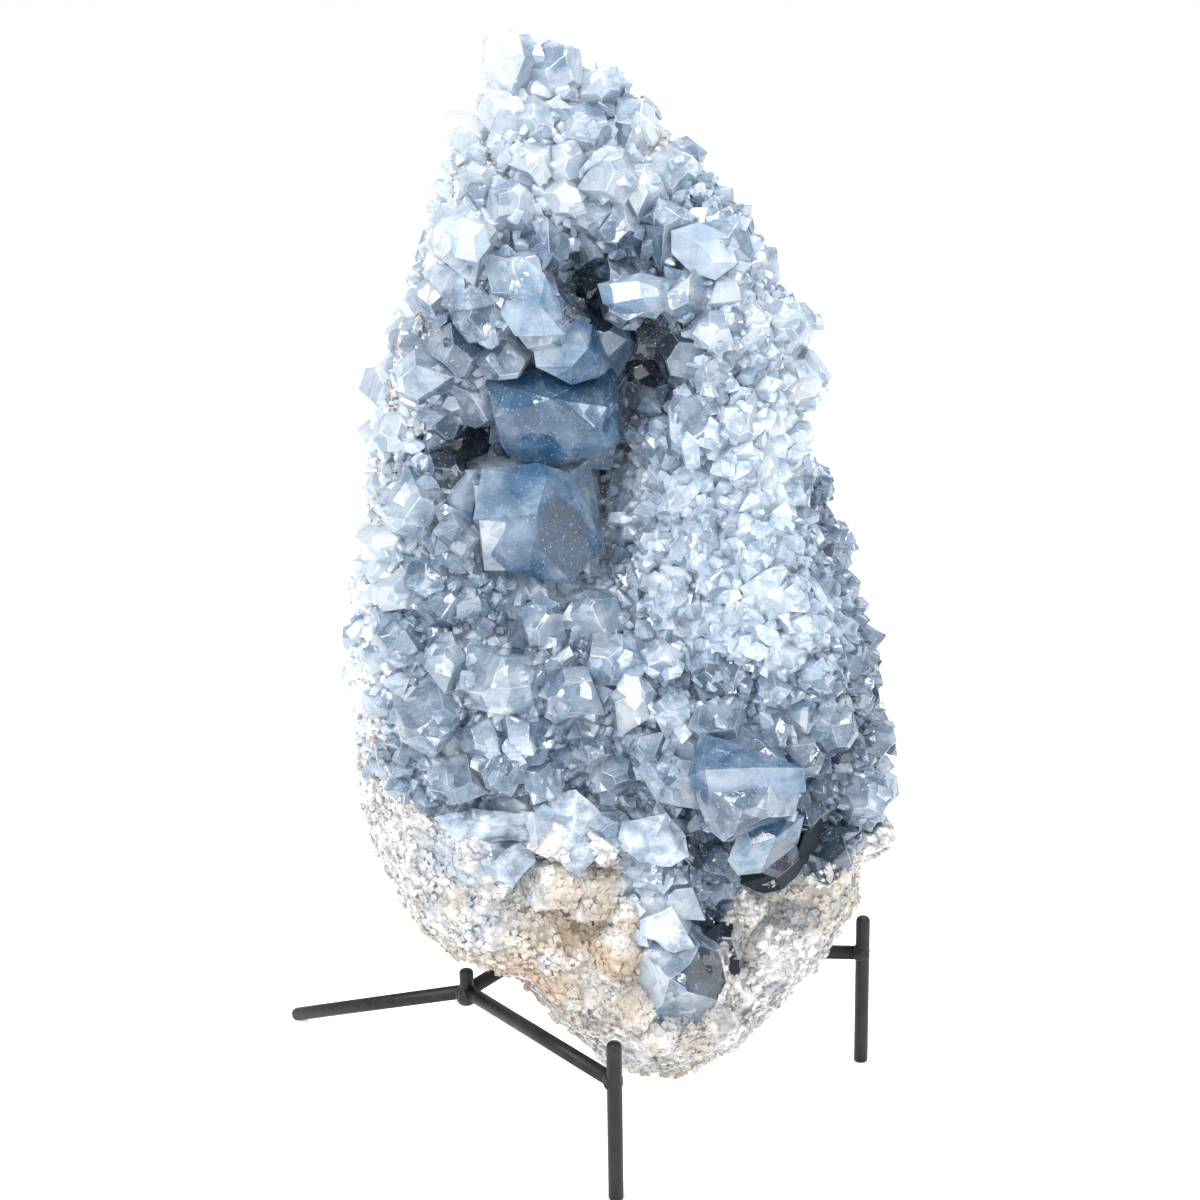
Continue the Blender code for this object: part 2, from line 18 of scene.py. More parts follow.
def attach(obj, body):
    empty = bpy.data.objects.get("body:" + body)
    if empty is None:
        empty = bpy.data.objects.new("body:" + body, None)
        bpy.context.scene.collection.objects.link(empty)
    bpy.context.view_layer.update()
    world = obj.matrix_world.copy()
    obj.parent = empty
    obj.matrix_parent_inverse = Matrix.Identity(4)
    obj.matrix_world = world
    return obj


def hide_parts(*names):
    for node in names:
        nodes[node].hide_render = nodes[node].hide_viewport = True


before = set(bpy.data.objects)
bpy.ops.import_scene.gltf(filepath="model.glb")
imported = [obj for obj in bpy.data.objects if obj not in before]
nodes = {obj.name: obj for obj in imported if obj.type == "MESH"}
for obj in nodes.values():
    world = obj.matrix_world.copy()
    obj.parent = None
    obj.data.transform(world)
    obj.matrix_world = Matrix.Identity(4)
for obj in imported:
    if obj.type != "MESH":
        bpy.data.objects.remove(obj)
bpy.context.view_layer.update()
MM = 0.001
BODY = "root"
print("nodes:", sorted(nodes))

# %% [markdown]
# Many pieces are measured from the foot of the front post, as the stand was laid out. That foot stands
# here in the frame of the CAD model, so one small helper turns millimetres from the foot into metres,
# and another turns them back. Two more turn a finished bmesh into a mesh, and into a piece on the body.

# %% Places and pieces
FOOT = Vector((16.056, -77.842, 0.0))


def place(x, y, z):
    """A point in metres, from millimetres right of, behind and above the front foot."""
    return (Vector((x, y, z)) + FOOT) * MM


def spot_of(point):
    """Millimetres right of and above the front foot, for a point in metres."""
    return point.x / MM - FOOT.x, point.z / MM


def to_mesh(name, bm):
    """A bmesh becomes a mesh and is freed."""
    mesh = bpy.data.meshes.new(name)
    bm.to_mesh(mesh)
    bm.free()
    return mesh


def to_piece(name, bm, material, replaced=()):
    """A bmesh becomes a finished piece that rides on the one body of the part."""
    mesh = to_mesh(name, bm)
    piece = bpy.data.objects.new(name, mesh)
    bpy.context.collection.objects.link(piece)
    mesh.materials.append(material)
    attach(piece, BODY)
    if replaced:
        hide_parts(*replaced)
    print(name, len(mesh.polygons), "faces")
    return piece


# %% [markdown]
# ## The camera
# The stone was seen from a little above, with a long lens. The lens, tilt and place were worked out from
# the ends of the rods, whose real sizes are known, so the rods fall on the same spots in the picture.

# %% Camera
LENS = 78.0
TILT_DOWN = math.radians(17.0349)
ROLL = math.radians(-0.8566)
VIEW_POINT = place(-2.798, -906.429, 523.487)

ahead = Vector((0, math.cos(TILT_DOWN), -math.sin(TILT_DOWN)))
right = Vector((1, 0, 0))
up = right.cross(ahead)
turned_right = right * math.cos(ROLL) + up * math.sin(ROLL)
turned_up = up * math.cos(ROLL) - right * math.sin(ROLL)
camera = bpy.data.objects.new("camera", bpy.data.cameras.new("camera"))
camera.data.lens = LENS
camera.matrix_world = Matrix((turned_right, turned_up, -ahead)).transposed().to_4x4()
camera.location = VIEW_POINT
bpy.context.collection.objects.link(camera)
bpy.context.scene.camera = camera
print("camera at", [round(c, 3) for c in VIEW_POINT])

# %% [markdown]
# ## Light
# A light tent: an even sky lights the crystals from all round, and where it is seen it is plain white.
# Soft panels from the left, the right and above shape the flat faces, and three small bright lamps in
# front wake the sparkles. Glass needs something to mirror, so the lamps differ in size and brightness.
# The plain view transform keeps white as white.

# %% Sky and panels
SKY = 0.70
SKY_SEEN = 1.0
PANELS = (
    ("left_panel", (-0.8, -0.9, 1.3), 0.8, 21.0),
    ("right_panel", (1.2, -0.8, 0.6), 0.6, 6.0),
    ("top_panel", (0.3, 0.2, 1.4), 0.7, 14.0),
    ("left_glint", (-0.5, -1.3, 0.5), 0.12, 2.2),
    ("front_glint", (0.35, -1.4, 0.9), 0.12, 2.6),
    ("right_glint", (0.9, -1.0, 1.1), 0.12, 2.2),
)
SKY_COLOUR = (0.98, 0.99, 1.0, 1)
MIDDLE = Vector((0, 0, 0.22))
world = bpy.data.worlds.new("sky")
world.use_nodes = True
links, air = world.node_tree.links, world.node_tree.nodes
seen = air.new("ShaderNodeMapRange")
seen.inputs["To Min"].default_value = SKY
seen.inputs["To Max"].default_value = SKY_SEEN
links.new(air.new("ShaderNodeLightPath").outputs["Is Camera Ray"], seen.inputs["Value"])
links.new(seen.outputs[0], air["Background"].inputs["Strength"])
air["Background"].inputs["Color"].default_value = SKY_COLOUR
bpy.context.scene.world = world
bpy.context.scene.view_settings.view_transform = "Standard"
for name, spot, size, watts in PANELS:
    lamp = bpy.data.lights.new(name, "AREA")
    lamp.shape = "DISK"
    lamp.size = size
    lamp.energy = watts
    panel = bpy.data.objects.new(name, lamp)
    panel.location = spot
    panel.rotation_euler = (MIDDLE - Vector(spot)).to_track_quat("-Z", "Y").to_euler()
    bpy.context.collection.objects.link(panel)
print("sky", SKY, "and", len(PANELS), "panels")

# %% [markdown]
# ## Node helpers
# Materials are written as short lists of nodes. These helpers add a node, set its plain inputs and join
# its linked ones, so that each finish below reads as what it mixes.

# %% Node helpers


def node(tree, kind, settings=None, **inputs):
    """Adds a node. A value that is a socket is linked, any other is set on the input."""
    made = tree.nodes.new(kind)
    for name, value in (settings or {}).items():
        setattr(made, name, value)
    for name, value in inputs.items():
        key = int(name[1:]) if name[0] == "i" and name[1:].isdigit() else name.replace("_", " ")
        if isinstance(value, bpy.types.NodeSocket):
            tree.links.new(value, made.inputs[key])
        else:
            made.inputs[key].default_value = value
    return made


def mix(tree, share, first, second):
    """Mixes two colours by a share from 0 to 1."""
    made = tree.nodes.new("ShaderNodeMix")
    made.data_type = "RGBA"
    for socket, value in ((made.inputs[0], share), (made.inputs[6], first), (made.inputs[7], second)):
        if isinstance(value, bpy.types.NodeSocket):
            tree.links.new(value, socket)
        else:
            socket.default_value = value
    return made.outputs[2]


def spread(tree, value, low, high, to_low=0.0, to_high=1.0):
    """Stretches a value from one range to another, and holds it there."""
    made = node(tree, "ShaderNodeMapRange", i0=value, i1=low, i2=high, i3=to_low, i4=to_high)
    return made.outputs[0]


def product(tree, first, second):
    """Two masks multiplied."""
    return node(tree, "ShaderNodeMath", {"operation": "MULTIPLY"}, i0=first, i1=second).outputs[0]


def total(tree, first, second):
    """Two values added."""
    return node(tree, "ShaderNodeMath", {"operation": "ADD"}, i0=first, i1=second).outputs[0]


def new_group(name, inputs, outputs):
    """An empty shader node group with named float or colour sockets."""
    group = bpy.data.node_groups.new(name, "ShaderNodeTree")
    for label, kind, value in inputs:
        socket = group.interface.new_socket(name=label, in_out="INPUT", socket_type="NodeSocket" + kind)
        socket.default_value = value
    for label, kind in outputs:
        group.interface.new_socket(name=label, in_out="OUTPUT", socket_type="NodeSocket" + kind)
    return group, group.nodes.new("NodeGroupInput"), group.nodes.new("NodeGroupOutput")


def new_material(name):
    """A material with its Principled shader, its node tree and the object coordinates."""
    material = bpy.data.materials.new(name)
    material.use_nodes = True
    tree = material.node_tree
    where = tree.nodes.new("ShaderNodeTexCoord").outputs["Object"]
    return material, tree, tree.nodes["Principled BSDF"], where


# %% [markdown]
# ## Cloudy veils, a shared group
# Celestite is clear in places and milky in others. The milk lies in veils and sheets of tiny bubbles.
# Two noises in Object coordinates do this: a broad one for clouds and a stretched one for the veils.
# The crystals and the thin frost on the rind use the same group, each with its own size and amount.

# %% Veil group
veil_group, veil_in, veil_out = new_group(
    "cloudy_veils",
    (("Position", "Vector", (0, 0, 0)), ("Scale", "Float", 60.0), ("Amount", "Float", 0.5)),
    (("Milk", "Float"), ("Fleck", "Float")),
)
clouds = node(veil_group, "ShaderNodeTexNoise", Vector=veil_in.outputs["Position"], Scale=veil_in.outputs["Scale"],
              Detail=5.0, Roughness=0.6, Distortion=0.8)
streaks = node(veil_group, "ShaderNodeMapping", {"vector_type": "POINT"}, Vector=veil_in.outputs["Position"],
               Rotation=(0.5, 0.9, 0.2), Scale=(1.0, 1.0, 5.0))
sheets = node(veil_group, "ShaderNodeTexNoise", Vector=streaks.outputs[0], Scale=veil_in.outputs["Scale"],
              Detail=3.0, Roughness=0.5)
both = node(veil_group, "ShaderNodeMath", {"operation": "MULTIPLY_ADD"}, i0=sheets.outputs[0], i1=0.45,
            i2=clouds.outputs[0])
milk = node(veil_group, "ShaderNodeMapRange", {"interpolation_type": "SMOOTHSTEP"}, i0=both.outputs[0], i1=0.62,
            i2=0.86)
veil_group.links.new(product(veil_group, milk.outputs[0], veil_in.outputs["Amount"]), veil_out.inputs["Milk"])
flecks = node(veil_group, "ShaderNodeTexNoise", Vector=veil_in.outputs["Position"], Scale=900.0, Detail=2.0)
veil_group.links.new(spread(veil_group, flecks.outputs[0], 0.62, 0.72), veil_out.inputs["Fleck"])

# %% [markdown]
# ## Growth mosaic, a shared group
# A natural crystal face is never one flat mirror. It is built of patches that lean a little, and inside
# there are healed cracks. Cells of a Voronoi texture stand for the patches: each one tips the normal its
# own small way and is a little darker or lighter. The position is warped first, so no cell looks regular.

# %% Mosaic group
mosaic_group, mosaic_in, mosaic_out = new_group(
    "growth_mosaic",
    (("Position", "Vector", (0, 0, 0)), ("Normal", "Vector", (0, 0, 1)), ("Scale", "Float", 150.0),
     ("Tilt", "Float", 0.2)),
    (("Normal", "Vector"), ("Shade", "Float")),
)
warp = node(mosaic_group, "ShaderNodeTexNoise", Vector=mosaic_in.outputs["Position"], Scale=110.0, Detail=2.0)
moved = node(mosaic_group, "ShaderNodeVectorMath", {"operation": "MULTIPLY_ADD"}, i0=warp.outputs["Color"],
             i1=(0.012, 0.012, 0.012), i2=mosaic_in.outputs["Position"])
leaning = node(mosaic_group, "ShaderNodeMapping", Vector=moved.outputs[0], Rotation=(0.6, 0.35, 0.8),
               Scale=(1.0, 1.6, 0.6))
cells = node(mosaic_group, "ShaderNodeTexVoronoi", Vector=leaning.outputs[0], Scale=mosaic_in.outputs["Scale"])
centred = node(mosaic_group, "ShaderNodeVectorMath", {"operation": "SUBTRACT"}, i0=cells.outputs["Color"],
               i1=(0.5, 0.5, 0.5))
tipped = node(mosaic_group, "ShaderNodeVectorMath", {"operation": "SCALE"}, i0=centred.outputs[0],
              Scale=mosaic_in.outputs["Tilt"])
summed = node(mosaic_group, "ShaderNodeVectorMath", {"operation": "ADD"}, i0=tipped.outputs[0],
              i1=mosaic_in.outputs["Normal"])
facing = node(mosaic_group, "ShaderNodeVectorMath", {"operation": "NORMALIZE"}, i0=summed.outputs[0])
mosaic_group.links.new(facing.outputs[0], mosaic_out.inputs["Normal"])
split = node(mosaic_group, "ShaderNodeSeparateColor", Color=cells.outputs["Color"])
mosaic_group.links.new(split.outputs[0], mosaic_out.inputs["Shade"])

# %% [markdown]
# ## Crystal glass
# Celestite bends light with an index of 1.62. The blue comes from depth: light that goes far through
# the stone loses its red, so absorption gives thick crystals the deep blue and thin ones almost none.
# Each crystal carries its own tone, from 0 for dark blue to 1 for white, as an attribute on its faces.
# The transmission, index and absorption are plain values; only colour, roughness and relief vary.

# %% Crystal material
# The tone ramp: tone and colour
TONE_STEPS = ((0.0, (0.020, 0.034, 0.056)), (0.2, (0.06, 0.12, 0.21)), (0.42, (0.20, 0.31, 0.45)),
              (0.62, (0.45, 0.56, 0.68)), (0.82, (0.74, 0.81, 0.88)), (1.0, (0.95, 0.96, 0.97)))
MILK = (0.84, 0.91, 0.98, 1)
FLECK = (0.97, 0.98, 1.0, 1)
FLECK_SHARE = 0.35
DEPTH_BLUE = (0.36, 0.57, 0.80, 1)
CELESTITE_INDEX = 1.62
CLOUD = 0.09


def crystal_glass(name, clearness, density, veil_scale, veil_amount, frost, cell_scale, tilt, painted_glow, strength):
    """A clear to milky crystal finish, whose tone attribute runs from deep blue to white."""
    material, tree, shader, where = new_material(name)
    grown = node(tree, "ShaderNodeAttribute", {"attribute_name": "tone"}).outputs["Fac"]
    normal = tree.nodes.new("ShaderNodeNewGeometry").outputs["Normal"]
    mosaic = node(tree, "ShaderNodeGroup", {"node_tree": mosaic_group}, Position=where, Normal=normal,
                  Scale=cell_scale, Tilt=tilt)
    patchy = spread(tree, mosaic.outputs["Shade"], 0.0, 1.0, -0.3 * tilt, 0.3 * tilt)
    clouds = node(tree, "ShaderNodeTexNoise", Vector=where, Scale=75.0, Detail=4.0)
    cloudy = spread(tree, clouds.outputs[0], 0.32, 0.68, -CLOUD, CLOUD)
    tone = total(tree, grown, total(tree, patchy, cloudy))
    veils = node(tree, "ShaderNodeGroup", {"node_tree": veil_group}, Position=where, Scale=veil_scale,
                 Amount=veil_amount)
    tone_share = spread(tree, tone, 0.15, 0.6)
    ramp = tree.nodes.new("ShaderNodeValToRGB")
    tree.links.new(tone, ramp.inputs[0])
    while len(ramp.color_ramp.elements) < len(TONE_STEPS):
        ramp.color_ramp.elements.new(0.5)
    for stop, (spot, colour) in zip(ramp.color_ramp.elements, TONE_STEPS):
        stop.position = spot
        stop.color = (*colour, 1)
    milky = mix(tree, product(tree, veils.outputs["Milk"], tone_share), ramp.outputs[0], MILK)
    flecked = mix(tree, product(tree, veils.outputs["Fleck"], FLECK_SHARE), milky, FLECK)
    rich = node(tree, "ShaderNodeHueSaturation", Saturation=strength, Color=flecked).outputs[0]
    tree.links.new(rich, shader.inputs["Base Color"])
    rough = spread(tree, veils.outputs["Milk"], 0.0, 1.0, frost, frost + 0.3)
    tree.links.new(rough, shader.inputs["Roughness"])
    ripple = node(tree, "ShaderNodeTexNoise", Vector=where, Scale=260.0, Detail=3.0)
    relief = node(tree, "ShaderNodeBump", Strength=0.3, Distance=0.0006, Height=ripple.outputs[0],
                  Normal=mosaic.outputs["Normal"])
    tree.links.new(relief.outputs[0], shader.inputs["Normal"])
    # The emission is painted light: a faint glow in the crystal's own colour that lifts the dark gaps.
    tree.links.new(rich, shader.inputs["Emission Color"])
    shader.inputs["Emission Strength"].default_value = painted_glow
    shader.inputs["Transmission Weight"].default_value = clearness
    shader.inputs["IOR"].default_value = CELESTITE_INDEX
    if density:
        depth = tree.nodes.new("ShaderNodeVolumeAbsorption")
        depth.inputs["Color"].default_value = DEPTH_BLUE
        depth.inputs["Density"].default_value = density
        tree.links.new(depth.outputs[0], tree.nodes["Material Output"].inputs["Volume"])
    return material


# Many small crystals pass light on to each other, so no gap between them is quite dark: a faint emission, painted
# light, stands in for it.
# Only the large ones are deep enough for the blue of the inside to take up light on its way: a density.
clear_glass = crystal_glass("clear_crystal", clearness=0.5, density=30.0, veil_scale=46.0, veil_amount=0.55,
                            frost=0.05, cell_scale=120.0, tilt=0.12, painted_glow=0.0, strength=1.22)
large_glass = crystal_glass("large_crystal", clearness=0.5, density=14.0, veil_scale=60.0, veil_amount=0.5,
                            frost=0.05, cell_scale=170.0, tilt=0.3, painted_glow=0.03, strength=0.86)
fine_glass = crystal_glass("fine_crystal", clearness=0.22, density=0.0, veil_scale=140.0, veil_amount=0.3,
                           frost=0.12, cell_scale=330.0, tilt=0.25, painted_glow=0.07, strength=0.76)
frosted_glass = crystal_glass("frosted_crystal", clearness=0.25, density=0.0, veil_scale=110.0,
                              veil_amount=0.45, frost=0.28, cell_scale=300.0, tilt=0.3, painted_glow=0.0, strength=0.75)

# %% [markdown]
# ## Where the crystals are pale, blue or white
# The face isn't one blue. The tip, the left rim and the broken edge at the bottom are whitish, the long
# slope on the right is pale, and the hollow and the pockets are dark. A short list of soft round zones
# sets the tone, and each crystal then gets a little luck of its own. The strongest darkening, in the
# pockets beside the hollow crystals and in the gaps at the lower right, is painted shade.

# %% Tone zones, the darkest ones painted shade: x, z, half width, half height, change of tone
BASE_TONE = 0.43
# Changes of -0.4 and below are painted shade in the dark pockets beside the hollow crystals and in the gaps at the
# lower right.
TONE_AND_SHADE_ZONES = (
    (-26, 430, 30, 26, 0.17), (-12, 388, 24, 16, 0.28), (-56, 384, 20, 50, -0.09), (62, 258, 36, 50, 0.20),
    (95, 215, 14, 40, -0.16), (66, 340, 32, 50, 0.12), (-80, 225, 16, 22, -0.03), (-42, 208, 14, 14, 0.24),
    (-32, 138, 50, 15, 0.44), (104, 160, 14, 36, -0.04), (18, 108, 18, 18, 0.24), (-2, 331, 11, 9, 0.26),
    (30, 395, 22, 20, 0.05), (17, 324, 14, 17, -0.72), (-5, 286, 8, 17, -0.62), (-52, 290, 14, 11, -0.62),
    (-5, 348, 9, 14, -0.47), (-48, 226, 24, 14, -0.12), (-88, 160, 10, 14, -0.20), (78, 147, 5, 8, -0.70),
    (71, 134, 7, 6, -0.70), (58, 125, 11, 4.5, -0.70), (46, 92, 10, 10, -0.52), (-19, 307, 24, 24, -0.14),
    (-28, 262, 26, 24, -0.04), (40, 152, 46, 24, -0.17), (-86, 172, 9, 10, -0.25),
    (-66, 332, 12, 22, -0.28), (-60, 172, 30, 20, -0.10), (22, 255, 24, 30, 0.06), (-8, 208, 24, 22, 0.02),
    (46, 138, 16, 10, -0.16), (14, 80, 8, 16, 0.24), (33, 88, 14, 14, -0.42), (80, 262, 13, 24, -0.22),
    (5, 366, 24, 20, -0.16), (76, 174, 14, 20, -0.18), (80, 255, 12, 20, -0.14), (30, 132, 18, 16, -0.18),
    (84, 138, 12, 10, -0.22), (-10, 180, 40, 16, -0.04), (-80, 266, 16, 18, -0.10),
    (-60, 212, 26, 20, 0.06), (-80, 180, 14, 60, 0.06),
)
# The left rim of the crystals as heights and x, white with fine sugar
LEFT_RIM = ((150, 170, 213, 258, 295, 332, 364, 390, 416), (-88, -95, -94, -88, -80, -73, -60, -52, -42))
RIM_WIDTH = 11.0
RIM_TONE = 0.30
BROAD_TONE = 0.16
BROAD_SIZE = 24.0 * MM


def rim_share(x, z):
    """How near a spot is to the white left rim, from 0 to 1."""
    inward = max(0.0, x - np.interp(z, *LEFT_RIM))
    return math.exp(-(inward / RIM_WIDTH) ** 2)


def tone_at(point, chance, luck=0.1):
    """The tone of a crystal rooted at a point, with the painted shade of the pockets and its own luck."""
    x, z = spot_of(point)
    tone = BASE_TONE + RIM_TONE * rim_share(x, z) + BROAD_TONE * noise.noise(point / BROAD_SIZE)
    for zx, zz, wide, high, change in TONE_AND_SHADE_ZONES:
        tone += change * math.exp(-((x - zx) / wide) ** 2 - ((z - zz) / high) ** 2)
    return min(1.0, max(0.0, tone + chance.uniform(-luck, luck)))


# %% [markdown]
# ## The large crystals
# The CAD model already holds the large crystals as one grown crust, with their real faces. A copy keeps
# that shape. Its loose triangles are merged into flat facets, and each large facet is inset and raised a
# hair, which leaves a narrow slanted rim: the bright edge that light finds on a real crystal. The rims are
# also a little paler in tone: a painted highlight. Every facet gets the tone of its place with its own
# luck, because each one shows another piece of the inside.

# %% Edges and named faces
# The lower edge of the crystals as x and height, where the bare rind begins
LOWER_EDGE = ((-100, -86, -67, -44, -22, -6, 4, 8, 15, 36, 43, 47, 74, 98, 110),
              (160, 158, 152, 148, 150, 150, 138, 112, 66, 62, 88, 112, 124, 134, 142))
# The crust is a bed of small facets with large crystals on it: what rises more off the rind is a crystal
BED_RISE = 8.5
solid_rind = bmesh.new()
solid_rind.from_mesh(nodes["matrix_rind"].data)
rind_tree = BVHTree.FromBMesh(solid_rind)
solid_rind.free()


def rise(point):
    """How far a point stands off the rind, in millimetres: the bed about 7, the large crystals more."""
    return rind_tree.find_nearest(point)[3] / MM


def below_edge(x, z, margin=0.0):
    """Whether a spot lies below the crystals, on the bare rind."""
    return z < np.interp(x, *LOWER_EDGE) - margin


# Flat faces of the two hollow crystals, their tone partly their own milk and partly painted light and shade,
# pale where they turn left and dark where they turn right: x, z and radius of the crystal, lean right, lean up,
# tone
NAMED_FACETS_LIT_AND_SHADED = (
    (-19, 307, 30, -8, -34, 0.33), (-19, 307, 30, -26, 9, 0.62), (-19, 307, 30, 36, 34, 0.24),
    (-19, 307, 30, 33, 20, 0.36), (-19, 307, 30, 26, -26, 0.27), (-19, 307, 30, 53, 9, 0.22),
    (-28, 262, 30, -27, 7, 0.58), (-28, 262, 30, -9, -15, 0.46), (-28, 262, 30, 34, -11, 0.24),
    (-28, 262, 30, 52, 10, 0.34), (-28, 262, 30, -5, 76, 0.44),
)


def named_tone_and_light(point, normal):
    """The tone of a named face, its own milk with painted light and shade, or None. A face counts when it looks
    within ten degrees of the named way.
    """
    x, z = spot_of(point)
    for fx, fz, radius, right_lean, up_lean, tone in NAMED_FACETS_LIT_AND_SHADED:
        turn, tilt = math.radians(right_lean), math.radians(up_lean)
        way = Vector((math.sin(turn) * math.cos(tilt), -math.cos(turn) * math.cos(tilt), math.sin(tilt)))
        if math.hypot(x - fx, z - fz) < radius and normal.angle(way) < math.radians(10):
            return tone
    return None


# %% Large crystals
EDGE_WIDTH = 0.32
EDGE_RISE = 0.12
FACET_AREA = 14.0
FACET_LUCK = 0.13
FACET_PAINTED_HIGHLIGHT = 0.2
BED_LUCK = 0.04
MERGE_ANGLE = 1.0
luck = random.Random(7)
crust = bmesh.new()
crust.from_mesh(nodes["crystal_crust"].data)
bmesh.ops.remove_doubles(crust, verts=crust.verts, dist=0.00001)
crust_faces = [(f.normal.copy(), f.calc_area(), [v.co.copy() for v in f.verts]) for f in crust.faces]
bmesh.ops.dissolve_limit(crust, angle_limit=math.radians(MERGE_ANGLE), verts=crust.verts, edges=crust.edges)
crust_tone = crust.faces.layers.float.new("tone")
facets = []
for face in crust.faces:
    face.smooth = False
    middle = face.calc_center_median()
    stands = rise(middle) > BED_RISE
    tone = tone_at(middle, luck, FACET_LUCK if stands else BED_LUCK)
    # A named face takes its listed tone: partly the crystal's milk, partly painted light and shade.
    face[crust_tone] = named_tone_and_light(middle, face.normal) or tone
    if stands and face.calc_area() > FACET_AREA * MM * MM:
        facets.append(face)
rims = bmesh.ops.inset_individual(crust, faces=facets, thickness=EDGE_WIDTH * MM, depth=EDGE_RISE * MM,
                                  use_even_offset=False)["faces"]
# The rims are made paler as well: a painted highlight on the edges.
for face in rims:
    face[crust_tone] = min(1.0, face[crust_tone] + luck.uniform(0.0, FACET_PAINTED_HIGHLIGHT))
print(len(facets), "facets with a bright rim")
# Below the edge, sugar covers the large crystals: a copy of those faces becomes a coat in the rind's cells
coat = crust.copy()
bare = [face for face in coat.faces if not below_edge(*spot_of(face.calc_center_median()), 2.0)]
bmesh.ops.delete(coat, geom=bare, context="FACES")
coat.faces.layers.float.remove(coat.faces.layers.float["tone"])
to_piece("large_crystals", crust, large_glass, ["crystal_crust"])

# %% [markdown]
# ## The crystals that catch the eye
# About fifteen crystals stand out by their size, their place or their brightness. A crystal is convex, so
# its corners alone give its whole shape: the hull about them is the crystal, with one flat face between
# each set of neighbours. Corners are millimetres right of, behind and above the front foot. The second
# list marks tones by x and z, and each face takes the tone of the nearest mark. Five of them, low on the
# stone, are frosted: broken so finely that they look white.

